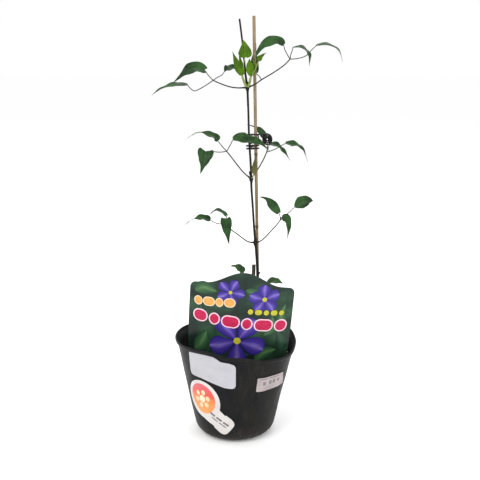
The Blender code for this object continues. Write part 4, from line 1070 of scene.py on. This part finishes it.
def leaflet_stalk(bm, leaflet):
    """A leaflet's stalk, which runs on under the middle of the blade as its raised rib."""
    radius = leaflet.stalk_radius
    sunk = []
    for share in (0.0, 0.1, 0.25, 0.45, 0.7, 0.9):
        centre, _, up = leaflet.lie(share)
        wide = max(leaflet.half_width(share), BASE_HALF_WIDTH)
        sunk.append(centre - up * (LEVEL_AT * leaflet.fold * wide + 0.3 + 0.7 * radius * (1 - share)))
    free = len(leaflet.stalk) - 1
    edge = free / (free + len(sunk))

    def reach(share):
        if share < edge:
            return radius * (1.12 - 0.12 * share / edge)
        return radius * (1 - 0.8 * (share - edge) / (1 - edge))

    rod(bm, smooth_route([*leaflet.stalk, *sunk], 5), reach, 10, 3)


def make_leaf(name, node, petiole, leaflets, habit, slot, stand_in):
    """One compound leaf or shoot: its petiole, its leaflets' stalks and their blades."""
    bm = bmesh.new()
    node = Vector(node)
    start = node + (Vector(petiole[0]) - node).normalized() * LEAF_SEAT
    beyond = habit.beyond

    def reach(share):
        return beyond + (habit.root - beyond) * exp(-share * habit.taper) - 0.12 * beyond * share

    rod(bm, smooth_route((start, *petiole), 7), reach, 12, 2)
    for index, leaflet in enumerate(leaflets):
        leaflet_stalk(bm, leaflet)
        blade(bm, leaflet, habit, len(name) + index * 1.7)
    stands_for(finished(name, bm, habit.skins, 75), slot, stand_in)


# Leaves and shoots: the node that bears each, its petiole and its leaflets

LEAVES = (
    ("upper_left", NODE_UPPER, ((4, -1, 425.3), (-5.6, -3, 426.6), (-16.7, -5, 430.4), (-25.3, -6, 434.3)), (
        Leaflet(17, (-0.1, -0.72, 0.66), ((-24.4, -5.9, 433.9), (-29.1, -7.4, 438.6), (-32.4, -8.8, 443)),
                ((-34, -9.5, 445.9), (-40.3, -11.5, 448.2), (-46.5, -13.5, 448), (-52.3, -15.5, 445.1),
                (-57.9, -17.2, 441), (-63.2, -18.8, 436.5), (-69.9, -20, 431)), lobe=0.12, wave=0.04),
        Leaflet(14.5, (-0.1, -0.3, 0.95), ((-24.4, -5.9, 433.9), (-31.8, -7, 429), (-38.9, -8, 424.9),
                (-45.9, -9, 422.1), (-50.5, -9.8, 424.9)), ((-53.5, -10.5, 429), (-60.5, -12.5, 429.3),
                (-67.7, -14.5, 429), (-75.8, -16.5, 427.6), (-84.5, -18, 424.7), (-93.9, -19, 417.5)),
                lobe=0.05, drip=0.2, belly=0.62, wave=0.04),
        Leaflet(11.5, (0, -0.6, 0.8), ((-24.4, -5.9, 433.9), (-20.9, -4, 436.5), (-15, -2, 439.6)),
                ((-11.9, 0, 443.8), (-7.6, 4, 447.3), (-1.1, 9, 448.6), (8, 13, 448.9)), lobe=0, drip=0.1,
                belly=0.95))),
    ("upper_right", NODE_UPPER, ((23.7, 1, 429.3), (31.4, 2, 434.6), (47, 4.5, 443.7), (58.7, 6.5, 452),
     (64.8, 8, 458.4)), (
        Leaflet(12.8, (0, -0.82, 0.57), ((64.2, 7.8, 457.7), (60.6, 7.2, 463.5), (57.8, 6.6, 468.8)),
                ((56.7, 6, 474.2), (51.4, 5.2, 478.2), (42.8, 3.5, 478.1), (34, 1.4, 473.9), (28, 0, 467.2),
                (23.8, -1, 459)), drip=0.1, belly=0.65),
        Leaflet(11.5, (0.7, -0.3, 0.65), ((64.2, 7.8, 457.7), (65.4, 9.5, 463.4), (67.2, 10.6, 468.4)),
                ((67.6, 11, 471.5), (73.8, 10.5, 472), (79.9, 9.5, 470.4), (84.9, 8.4, 465.9),
                (86.6, 7.2, 459.4), (86.7, 6, 450)), lobe=0.02, drip=0.1, belly=1.05),
        Leaflet(10, (0.6, -0.2, 0.75), ((64.2, 7.8, 457.7), (73, 10, 458.4), (82.6, 13, 461.3),
                (89.8, 15.2, 468.3)), ((95.1, 16, 473.6), (102.3, 16, 474.8), (109.8, 15.8, 474.5),
                (117, 15.4, 471.6), (122.7, 14.8, 466.3), (126, 14, 455)), lobe=0.04, drip=0.2, belly=0.68,
                wave=0.05),
        Leaflet(9.5, (0.2, -0.9, 0.2), ((31.2, 2, 434.5), (28.9, 7.5, 438.1), (26.2, 12.6, 440.6)),
                ((24.8, 13.8, 442.6), (23.4, 14.2, 452.2), (23.5, 14.4, 463.6), (25, 14.6, 476)), drip=0.2))),
    ("middle_left", NODE_MIDDLE, ((11.4, -2.2, 326.2), (6.7, -5, 331.8), (-3.4, -11, 345.7),
     (-9.8, -15, 354.3)), (
        Leaflet(11, (-0.2, -0.5, 0.82), ((-9.2, -14.6, 353.5), (-14, -15.4, 358.8), (-17.5, -16.4, 363.4)),
                ((-18.9, -17, 366.1), (-22, -17.8, 370.5), (-27.8, -18.6, 372.9), (-35.5, -19.3, 375.4),
                (-43.7, -19.8, 375.5), (-55, -20, 368.7)), lobe=0.02, drip=0.8, belly=0.52, wave=0.06),
        Leaflet(18.8, (-0.1, -0.97, 0.15), ((-9.2, -14.6, 353.5), (-15.6, -15.8, 352.7), (-21.5, -16.8, 353),
                (-28.2, -18, 354)), ((-33, -18.5, 353.6), (-34.7, -20, 345.6), (-36.8, -22, 337),
                (-39.6, -24, 328.1)), lobe=0.15, drip=0.15, belly=0.3, fold=0.15),
        Leaflet(13, (0.1, -0.78, 0.62), ((-9.2, -14.6, 353.5), (-6.4, -15.5, 358.3), (-3.4, -14.8, 363.8)),
                ((-1.6, -14, 367.7), (5.7, -13, 369.2), (14.2, -12, 367.6), (22.7, -11.4, 366),
                (31.2, -10.4, 362), (41.3, -9, 353)), lobe=0.04, drip=0, belly=0.62, wave=0.12))),
    ("middle_right", NODE_MIDDLE, ((22.6, 11.5, 321.5), (27.6, 14, 328.4), (34.1, 15.5, 339.5),
     (38.7, 16, 349.9)), (
        Leaflet(11.5, (0.45, -0.4, 0.8), ((38.3, 16, 349.2), (39.7, 16.4, 352.6), (40.7, 16.8, 355.6)),
                ((41.6, 17, 358.2), (47.7, 16, 358.5), (54.2, 14.5, 355.1), (60, 13, 349), (66.6, 12, 339.5)),
                lobe=0.03, drip=0.05, belly=0.62),
        Leaflet(11.5, (0.4, -0.45, 0.8), ((38.3, 16, 349.2), (43, 17.2, 350.4), (49.1, 18, 352.7),
                (56.6, 19, 357)), ((61.2, 20, 359.6), (68.4, 20, 358.9), (75.7, 19.6, 356.9),
                (82.7, 19, 351.7), (88.2, 18, 337.5)), lobe=0.03, drip=0.45, belly=0.58),
        Leaflet(9.5, (-0.2, -0.6, 0.75), ((38.3, 16, 349.2), (39.2, 15.6, 355.4), (38.2, 15.5, 361.3)),
                ((36.7, 15.5, 366.1), (32.8, 15.2, 372), (28, 14.8, 376.5), (22.5, 14.4, 379.8),
                (14.2, 14.2, 382.2)), drip=0.5, wave=0.05, fold=0.1))),
    ("lower_left", NODE_LOWER, ((16.5, 7, 240.6), (9.5, 10, 244.5), (2.5, 12.5, 249.4), (-5.1, 15.5, 254.4),
     (-11.5, 17, 262)), (
        Leaflet(10.5, (-0.2, -0.55, 0.8), ((-11, 16.9, 261.2), (-16.5, 17.6, 260.6), (-22.4, 18, 261.4),
                (-27.4, 18, 263.8)), ((-30, 18, 266), (-35.4, 17.4, 268), (-41.3, 16.6, 269.1),
                (-47.9, 15.6, 268.1), (-55.4, 14.2, 265.4), (-64.2, 13, 256)), lobe=0.02, drip=0.85,
                belly=0.48),
        Leaflet(9.5, (-0.2, -0.25, 0.95), ((-11, 16.9, 261.2), (-10.5, 17.2, 265), (-10.2, 17, 268.4)),
                ((-10.6, 16.5, 271.6), (-14.8, 16.5, 275.3), (-21.1, 16, 278.5), (-26.2, 15, 277),
                (-31.6, 14, 271.7)), lobe=0.16, wave=0.05),
        Leaflet(14, (-0.1, -0.95, 0.1), ((-11, 16.9, 261.2), (-12.8, 17, 266), (-12.2, 14.6, 268.6)),
                ((-10.9, 11.5, 267.6), (-9.8, 9.8, 257.2), (-8.5, 8.6, 247), (-6.9, 8, 235.8)), lobe=0.12,
                drip=0.1, belly=0.34, fold=0.12))),
    ("lower_right", NODE_LOWER, ((30.4, -1.4, 243), (36.4, -3.6, 248.4), (43.4, -6, 256.8),
     (49.6, -8.5, 264.4), (54.8, -10, 271.8)), (
        Leaflet(11.2, (-0.3, -0.85, 0.4), ((54.2, -9.8, 271), (54.1, -10.2, 274.8), (53.4, -10.6, 277.8)),
                ((52, -10.8, 280.3), (48, -11.8, 286), (43.9, -12.9, 291.2), (39.5, -13.8, 296),
                (33.8, -14.6, 299.1), (28.4, -15, 299.9)), lobe=0.1, drip=0.5, belly=0.6),
        Leaflet(10.6, (0.4, -0.85, 0.3), ((54.2, -9.8, 271), (54.7, -10.5, 273.2), (55.3, -11.2, 274.6)),
                ((56.1, -12, 275), (60.7, -13.4, 274.2), (63.5, -14.8, 269.4), (64, -15.8, 261.4),
                (62.5, -16, 248.8)), lobe=0.03, drip=0.1),
        Leaflet(15, (-0.2, -0.92, 0.35), ((54.2, -9.8, 271), (58.4, -10.8, 275), (63, -12, 279.4),
                (67.4, -13.2, 284)), ((70.8, -14, 287.7), (76.1, -15.2, 291.8), (81.6, -16.4, 294.6),
                (87.3, -17.6, 296.2), (92.1, -19, 296)), lobe=0.05, drip=0, belly=0.8))),
    ("base_left", OLD_NODE_LOW, ((16, -2.4, 167), (12.4, -5.4, 180), (11.9, -4, 194)), (
        Leaflet(10.5, (-0.2, -0.6, 0.8), ((11.9, -4.1, 193.2), (12.2, -3.4, 199), (11.4, -2.8, 202.4)),
                ((11, -2.6, 205), (6.8, -3.4, 209.2), (0.6, -5, 212.8), (-5.9, -6, 213.4)), drip=0.15),)),
    ("base_right", OLD_NODE_LOW, ((28.4, 0.6, 165.5), (33, -1.8, 174), (36.2, -2.4, 185)), (
        Leaflet(10.5, (0.2, -0.6, 0.8), ((36, -2.4, 184.2), (37.3, -2.2, 188), (38.2, -2.1, 191)),
                ((39.2, -2, 192.8), (44.8, -4, 194.5), (51.6, -7, 194.6), (58.9, -9, 192.2)), lobe=0.03,
                drip=0, belly=0.85, wave=0.06),)),
)
SHOOT_LEFT = (NODE_UPPER, ((12.4, -0.6, 428.8), (10.5, -2.2, 433.5), (8.9, -3.1, 437.6)), (
    Leaflet(9, (-0.35, -0.9, 0.2), ((8.9, -3.5, 436.8), (8.4, -3.9, 438.4), (8.2, -4.1, 439.3)),
            ((8.1, -4.2, 439.9), (5.6, -5.6, 446), (2.9, -6.8, 452.6), (0.6, -7.8, 458.8),
            (-2.4, -8.6, 466.1)), drip=0.1, belly=0.62, fold=0.35),
    Leaflet(7, (0.4, -0.9, 0.1), ((8.9, -2.9, 436.8), (9.1, -2.9, 438.4), (9.1, -3, 439.4)),
            ((9.1, -3, 440.5), (7.9, -2.4, 448.2), (6.5, -1.6, 456.2), (5.3, -0.8, 464)), drip=0.1, fold=0.4),
    Leaflet(15.5, (0.05, -1, 0.1), ((9.4, -3.4, 435.8), (9.8, -4.8, 444.4), (10.3, -5.6, 451.6),
            (11.3, -5.4, 457.3)), ((12, -5.2, 459.7), (12, -5.6, 465.5), (11.4, -5.2, 472.1),
            (9.8, -4, 479.1)), drip=0, belly=0.5)))
SHOOT_RIGHT = (NODE_UPPER, ((16.5, -1.2, 428.6), (17.6, -1.7, 432.2), (18.5, -1.2, 436.8)), (
    Leaflet(9, (-0.2, -1, 0), ((18.5, -1.3, 435.8), (18.5, -1.5, 437), (18.5, -1.7, 437.6)),
            ((18.5, -1.8, 438.3), (17.9, -2.3, 445), (17.3, -2.3, 451.5), (17.1, -1.8, 458.4)), drip=0,
            belly=0.8, fold=0.3),
    Leaflet(7, (-0.4, -0.85, 0.3), ((18.6, -1.1, 436), (21.8, -1, 442.8), (24.9, -0.9, 449.1),
            (27.2, -0.3, 454.3)), ((27.7, 0, 456.2), (29.7, 0.3, 459.4), (32.5, 0.6, 462.1),
            (36.8, 1, 465.2)), drip=0.1, belly=0.42, fold=0.3, stalk_radius=0.75),
    Leaflet(6.5, (0.4, -0.9, 0), ((18.7, -0.9, 436), (19.5, -0.7, 438), (20, -0.6, 439)),
            ((20.4, -0.5, 439.8), (21.7, -0.4, 446), (21.9, -0.2, 452.2), (21.7, 0.2, 458.5)), fold=0.35)))
SHOOT_MIDDLE = (NODE_MIDDLE, ((21.1, 0.4, 320.8), (21.9, -0.1, 322), (22.4, -0.4, 323.6)), (
    Leaflet(7.5, (-0.3, -0.95, 0), ((22.2, -0.3, 322.8), (22.4, -0.4, 324), (22.5, -0.5, 324.8)),
            ((22.8, -0.6, 325.8), (23.6, -1, 332), (24.2, -1, 339), (24.3, -0.6, 346.4)), drip=0.1,
            fold=0.3),))


def make_leaves(skins, dark_stalk, pale_stalk, green_stalk):
    mature = Habit(1.5, 0.75, 14.0, 44, 16, (*skins["mature"], dark_stalk, pale_stalk))
    young = Habit(1.1, 1.65, 5.0, 32, 14, (*skins["young"], green_stalk, green_stalk))
    olive = Habit(1.0, 0.7, 5.0, 28, 12, (*skins["olive"], green_stalk, green_stalk))
    for place, node, petiole, leaflets in LEAVES:
        make_leaf("foliage_" + place, node, petiole, leaflets, mature, "mature_leaf", "leaf_" + place)
    make_leaf("young_shoot_left", *SHOOT_LEFT, young, "young_leaf", "shoot_upper_left")
    make_leaf("young_shoot_right", *SHOOT_RIGHT, young, "young_leaf", "shoot_upper_right")
    make_leaf("young_shoot_middle", *SHOOT_MIDDLE, olive, "olive_leaf", "shoot_middle")


# Wire tie

def at_height(route, height):
    for start, end in zip(route, route[1:]):
        if start[2] <= height <= end[2]:
            return Vector(start).lerp(Vector(end), (height - start[2]) / (end[2] - start[2]))
    return Vector(route[-1])


def tie_route():
    """Two close turns round stem and cane, a climb, a turn above, and the spare end wound in a flat coil."""
    wire = WIRE_RADIUS + WIRE_SPARE
    second = TIE_LOW + TIE_TURN_GAP
    levels = ((0.0, TIE_LOW), (0.9, TIE_LOW), (1.15, second), (1.9, second), (2.45, TIE_HIGH),
              (TIE_TURNS, TIE_HIGH))
    route = []
    for index in range(int(TIE_TURNS * TIE_STEPS) + 1):
        turn = index / TIE_STEPS
        height = eased(levels, turn)
        outward = Vector((*around(2 * pi * turn, 1), 0))
        rounds = ((at_height(STEM, height), STEM_GIRTH + wire + WIRE_SLACK),
                  (at_height((CANE_FOOT, CANE_TOP), height), CANE_RADIUS + wire))
        centre, reach = max(rounds, key=lambda pair: pair[0].dot(outward) + pair[1])
        route.append(centre + outward * reach)
    middle = Vector(COIL_CENTRE)
    outer, inner = COIL_SIZE
    for index in range(1, int(2 * COIL_TURNS * TIE_STEPS) + 1):
        turn = index / TIE_STEPS
        angle = COIL_START - 2 * pi * turn
        size = inner + (outer - inner) * abs(1 - turn / COIL_TURNS)
        back = COIL_LAYER * smoothstep(turn - COIL_TURNS + 0.5)
        route.append(middle + Vector((size * cos(angle), back, size * COIL_STRETCH * sin(angle))))
    return route


def make_tie(coat):
    bm = bmesh.new()
    rod(bm, smooth_route(tie_route(), 4), lambda share: WIRE_RADIUS)
    stands_for(finished("garden_wire", bm, [coat]), "coated_wire", "wire_tie")


# Picture card

CARD_PLACE = (Matrix.Translation(Vector(CARD_FOOT)) @ Matrix.Rotation(CARD_ROLL, 4, "Y")
              @ Matrix.Rotation(CARD_LEAN, 4, "X"))


def card_top(across):
    height = CARD_SHOULDER - CARD_EDGE_DROP * (2 * across / CARD_WIDTH) ** 2
    inward = CARD_WIDTH / 2 - abs(across)
    if inward < CARD_CORNER:
        height -= CARD_CORNER - (CARD_CORNER ** 2 - (CARD_CORNER - inward) ** 2) ** 0.5
    from_crest = across - CARD_CREST_AT
    if abs(from_crest) < CARD_CREST_REACH:
        height += CARD_CREST * cos(pi * from_crest / (2 * CARD_CREST_REACH)) ** 2
    return height


def card_point(across, height, lift):
    """A point of the bent card, lift millimetres in front of its middle surface."""
    share = min(height / card_top(across), 1) if card_top(across) > 0 else 0
    across *= 1 - 0.1 * (1 - share) ** 4
    turn = across / CARD_BEND
    reach = CARD_BEND + lift
    return CARD_PLACE @ Vector((reach * sin(turn), CARD_BEND - reach * cos(turn), height))


def card_grid(lift, columns=72, rows=40):
    spots = [sin((2 * column / columns - 1) * pi / 2) * (CARD_WIDTH / 2) for column in range(columns + 1)]
    return [[card_point(across, card_top(across) * row / rows, lift) for across in spots]
            for row in range(rows + 1)]


def printed(bm, spine, widths, level, skin=0, columns=8, per_span=8):
    """Adds one printed shape: a band along a spine of (across, height) points, with half widths along it."""
    route = smooth_route([(x, y, 0) for x, y in spine], per_span)
    last = len(route) - 1
    grids = []
    for lift in (CARD_THICKNESS / 2 + 0.05 + PRINT_STEP * level, CARD_THICKNESS / 2 + 0.02):
        grid = []
        for index, place in enumerate(route):
            ahead = heading(route, index)
            side = Vector((ahead.y, -ahead.x, 0))
            reach = max(widths(index / last), 0.02)
            grid.append([card_point(*(place + side * reach * (2 * column / columns - 1)).xy, lift)
                         for column in range(columns + 1)])
        grids.append(grid)
    slab(bm, *grids, (skin, skin, skin))


def petal(widest, at=0.62, tip=0.62):
    """Half width of a rounded petal or leaf, widest at a share of its length."""
    power = log(0.5) / log(at)
    return lambda share: widest * max(sin(pi * share ** power), 0.0) ** tip


def pill(length, half):
    """Half width of a bar with round ends."""
    def width(share):
        inward = min(share, 1 - share) * length
        return half * (1 - max(1 - inward / half, 0) ** 2) ** 0.5
    return width


def blossom(bm, centre, length, widest, first_angle, level, petals=5):
    x, y = centre
    for index in range(petals):
        angle = radians(first_angle + 360 * index / petals)
        spine = [(x + length * out * cos(angle + turn), y + length * out * sin(angle + turn))
                 for out, turn in ((0.06, 0.0), (0.4, 0.05), (0.72, 0.04), (1.0, -0.02))]
        printed(bm, spine, petal(widest), level + 0.2 * index)


def bar_row(bm, start, end, lengths, half, spare, skins):
    """A row of plain bars with a rim of another colour, evenly spread between two points."""
    (x0, y0), (x1, y1) = start, end
    whole = hypot(x1 - x0, y1 - y0)
    gap = (whole - sum(lengths)) / (len(lengths) - 1)
    at = 0.0
    for length in lengths:
        for grow, level, skin in ((spare, BAR_LEVEL, skins[0]), (0.0, BAR_LEVEL + 1, skins[1])):
            low, high = at - grow, at + length + grow
            spine = [(x0 + (x1 - x0) / whole * along, y0 + (y1 - y0) / whole * along)
                     for along in (low, (low + high) / 2, high)]
            printed(bm, spine, pill(high - low, half + grow), level, skin, 6, 12)
        at += length + gap


def make_card(inks):
    bm = bmesh.new()
    slab(bm, card_grid(CARD_THICKNESS / 2), card_grid(-CARD_THICKNESS / 2), (0, 1, 0))
    stands_for(finished("plant_card", bm, [inks["field"], inks["back"]], 40), "printed_card", "picture_card")

    bm = bmesh.new()
    for index, (*spine, widest) in enumerate(CARD_LEAVES):
        printed(bm, spine, petal(widest, 0.45, 0.8), 0.1 * index, index % 2)
    stands_for(finished("card_leaves", bm, [inks["leaf"], inks["dark_leaf"]]), "printed_card")

    bm = bmesh.new()
    for *petals, _ in BLOSSOMS:
        blossom(bm, *petals)
    stands_for(finished("card_petals", bm, [inks["petal"]]), "printed_card")

    bm = bmesh.new()
    for (x, y), *_, reach in BLOSSOMS:
        printed(bm, ((x - reach, y), (x, y), (x + reach, y)), pill(2 * reach, reach), 6.0, 0, 8, 12)
    for row in BAR_ROWS:
        bar_row(bm, *row)
    stands_for(finished("card_bars", bm, [inks[name] for name in BAR_INKS]), "printed_card")


# Stickers

def wall_cutout(name, outline, lift, thickness, skin, slot, crumple, *nodes):
    """A flat cut-out, (azimuth in degrees, height in millimetres), laid on the pot's wall."""
    curve = bpy.data.curves.new(name, "CURVE")
    curve.dimensions = "2D"
    curve.fill_mode = "BOTH"
    curve.extrude = thickness / 2 * MM
    spline = curve.splines.new("POLY")
    spline.points.add(len(outline) - 1)
    spline.use_cyclic_u = True
    for point, (azimuth, height) in zip(spline.points, outline):
        point.co = (azimuth * MM, height * MM, 0, 1)
    guide = add_object(name, curve)
    mesh = baked(guide)
    bpy.data.objects.remove(guide, do_unlink=True)
    bm = bmesh.new()
    bm.from_mesh(mesh)
    bmesh.ops.remove_doubles(bm, verts=bm.verts, dist=0.001 * MM)
    for values, pitch, way in zip(zip(*outline), (2.0, 3.0), (Vector((1, 0, 0)), Vector((0, 1, 0)))):
        low, high = min(values), max(values)
        steps = max(int((high - low) / pitch), 1)
        for step in range(1, steps):
            at = (low + (high - low) * step / steps) * MM
            bmesh.ops.bisect_plane(bm, geom=bm.verts[:] + bm.edges[:] + bm.faces[:], plane_co=way * at,
                                   plane_no=way, dist=1e-7)
    bmesh.ops.triangulate(bm, faces=[face for face in bm.faces if len(face.verts) > 4])
    for vertex in bm.verts:
        azimuth, height, depth = vertex.co / MM
        ripple = crumple * noise.noise(Vector((azimuth / 7, height / 5, 3)))
        reach = skin_radius(height) + STICKER_LIFT + lift + depth + ripple
        vertex.co = bent(reach, radians(azimuth), height) * MM
    bm.to_mesh(mesh)
    bm.free()
    dress(mesh, [skin], 50)
    stands_for(add_object(name, mesh), slot, *nodes)


def rounded(outline, corner, steps=3):
    """The polygon with its corners rounded off, in the plane of azimuth and height."""
    made = []
    count = len(outline)
    for index in range(count):
        here = Vector(outline[index])
        before, after = Vector(outline[index - 1]) - here, Vector(outline[(index + 1) % count]) - here
        reach = min(corner, before.length / 2, after.length / 2)
        first, last = here + before.normalized() * reach, here + after.normalized() * reach
        for step in range(steps + 1):
            share = step / steps
            made.append(tuple(first * (1 - share) ** 2 + here * 2 * share * (1 - share) + last * share ** 2))
    return made


def degrees_per_mm(height):
    return 180 / pi / wall_radius(height)


def wall_spot(centre, radius, angle, level=None):
    """The spot at a distance and angle from a centre on the wall, measured at a level of the wall."""
    scale = degrees_per_mm(centre[1] if level is None else level)
    return centre[0] + radius * cos(angle) * scale, centre[1] + radius * sin(angle)


def wall_disc(centre, radius, steps=48):
    return [wall_spot(centre, radius, 2 * pi * step / steps) for step in range(steps)]


def round_sticker_outline():
    start, end = ROUND_HEAD_ARC
    head = [wall_spot(ROUND_HEAD, ROUND_HEAD_RADIUS, radians(start + (end - start) * step / 48))
            for step in range(49)]
    return head + rounded(ROUND_TAB, 1.6)


def wall_bar(start, end, half):
    """Outline of a plain bar on the wall between two points of (azimuth, height). half is half its height."""
    scale = degrees_per_mm((start[1] + end[1]) / 2)
    first, last = Vector((start[0] / scale, start[1])), Vector((end[0] / scale, end[1]))
    ahead = (last - first).normalized()
    side = Vector((-ahead.y, ahead.x)) * half
    corners = (first + side, first - side, last - side, last + side)
    return [(corner.x * scale, corner.y) for corner in corners]


def make_stickers(inks):
    wall_cutout("white_label", rounded(NAME_STICKER, 1.2), 0.0, 0.3, inks["label"], "white_sticker", 0.16,
                "name_sticker")
    price_print = ("price_sticker_print", 0.14)
    round_print = ("round_sticker_print", 0.05)
    wall_cutout("price_label", rounded(PRICE_STICKER, 0.8), 0.0, 0.3, inks["price"], *price_print,
                "price_sticker")
    wall_cutout("round_label", round_sticker_outline(), 0.0, 0.3, inks["white"], *round_print,
                "round_sticker")
    wall_cutout("round_label_disc", wall_disc(DISC_CENTRE, DISC_RADIUS), 0.19, 0.06, inks["disc"],
                *round_print)
    for index in range(DOTS):
        centre = wall_spot(DISC_CENTRE, DOT_CIRCLE, radians(12 + 360 / DOTS * index), 56)
        wall_cutout(f"round_label_dot_{index}", wall_disc(centre, 3.0, 24), 0.24, 0.05, inks["dot"],
                    *round_print)
    wall_cutout("round_label_middle", wall_disc(DISC_CENTRE, 4.6, 32), 0.24, 0.05, inks["cream"],
                *round_print)
    for index, bar in enumerate(ROUND_BARS):
        wall_cutout(f"round_label_bar_{index}", wall_bar(*bar), 0.2, 0.05, inks["grey"], *round_print)
    for index, bar in enumerate(PRICE_BARS):
        wall_cutout(f"price_label_bar_{index}", wall_bar(*bar), 0.2, 0.05, inks["grey"], *price_print)


# Stage

def make_floor():
    skin = Skin("studio_floor", (0.9, 0.9, 0.9), 0.9, shine=0.0,
                more={"Emission Color": (1, 1, 1, 1), "Emission Strength": 0.09})
    bm = bmesh.new()
    bmesh.ops.create_grid(bm, x_segments=1, y_segments=1, size=30)
    mesh = mesh_of("floor", bm)
    mesh.materials.append(skin.made)
    plane = add_object("floor", mesh)
    plane.location = (0, 0, -FLOOR_DROP)


def make_stage():
    make_floor()
    scene = bpy.context.scene
    world = bpy.data.worlds.new("studio")
    world.use_nodes = True
    world.node_tree.nodes["Background"].inputs["Color"].default_value = (1.0, 1.0, 1.0, 1)
    world.node_tree.nodes["Background"].inputs["Strength"].default_value = 1.0
    scene.world = world
    for name, place, size, power, tint in LAMPS:
        data = bpy.data.lights.new(name, "AREA")
        data.size = size
        data.energy = power
        data.color = tint
        lamp = add_object(name, data)
        lamp.location = place
        lamp.rotation_euler = (Vector(LAMP_AIM) - Vector(place)).to_track_quat("-Z", "Y").to_euler()
    data = bpy.data.cameras.new("camera")
    data.lens = CAMERA_LENS
    data.sensor_width = SENSOR_WIDTH
    camera = add_object("camera", data)
    camera.location = CAMERA_PLACE
    camera.rotation_euler = (pi / 2 - CAMERA_PITCH, 0, 0)
    scene.camera = camera
    scene.view_settings.view_transform = "Standard"


def make_inks():
    inks = {name: make_ink("ink_" + name, *colours) for name, colours in INKS.items()}
    return inks | {
        "field": make_card_field(),
        "back": make_paper("card_back", (0.62, 0.63, 0.60), (0.52, 0.53, 0.50), 0.35, 0.0001),
        "leaf": make_petal_ink("ink_leaf", (0.012, 0.042, 0.022), (0.036, 0.11, 0.042), (0.12, 0.23, 0.09)),
        "dark_leaf": make_petal_ink("ink_dark_leaf", (0.007, 0.022, 0.014), (0.018, 0.056, 0.03),
                                    (0.036, 0.10, 0.05)),
        "petal": make_petal_ink("ink_petal", (0.022, 0.012, 0.16), (0.062, 0.036, 0.30), (0.26, 0.19, 0.58)),
        "label": make_paper("label_paper", (0.46, 0.46, 0.49), (0.41, 0.41, 0.44), 0.5, 0.0005),
        "price": make_paper("price_paper", (0.40, 0.345, 0.35), (0.31, 0.265, 0.27), 0.5, 0.0005),
        "white": make_paper("round_paper", (0.62, 0.60, 0.58), (0.54, 0.515, 0.50), 0.35, 0.0002),
        "disc": make_disc_ink(),
    }


def main():
    make_stage()
    make_pot(make_pot_plastic())
    make_soil(make_soil_material("soil_dark", (0.012, 0.008, 0.006), (0.045, 0.030, 0.019), 700.0),
              make_soil_material("bark_chip", (0.05, 0.028, 0.015), (0.12, 0.075, 0.042), 500.0),
              make_soil_material("perlite", (0.42, 0.41, 0.38), (0.66, 0.65, 0.62), 900.0))
    pith = make_paper("pith", (0.30, 0.25, 0.15), (0.16, 0.12, 0.07), 0.8, 0.0002)
    make_cane(make_bamboo(), pith)
    old_bark = make_bark("old_bark", (0.035, 0.033, 0.018), (0.075, 0.07, 0.04), (0.018, 0.014, 0.009),
                         0.8, 0.0005)
    strip = make_bark("bark_strip", (0.06, 0.045, 0.03), (0.13, 0.10, 0.07), (0.03, 0.02, 0.015),
                      0.85, 0.0002)
    stem_bark = make_bark("stem_bark", (0.004, 0.003, 0.003), (0.012, 0.0085, 0.0075),
                          (0.002, 0.0015, 0.0015), 0.5, 0.00015)
    make_old_stump(old_bark, pith, strip)
    make_climbing_stem(stem_bark, pith)
    make_leaves(make_leaf_materials(),
                stalk_skin("petiole_dark", (0.006, 0.005, 0.0045), (0.020, 0.019, 0.013), 0.5),
                stalk_skin("petiole_pale", (0.013, 0.016, 0.010), (0.040, 0.048, 0.028), 0.55),
                stalk_skin("shoot_stalk", (0.17, 0.22, 0.06), (0.32, 0.37, 0.16), 0.5))
    make_tie(make_wire_coat())
    inks = make_inks()
    make_card(inks)
    make_stickers(inks)


main()
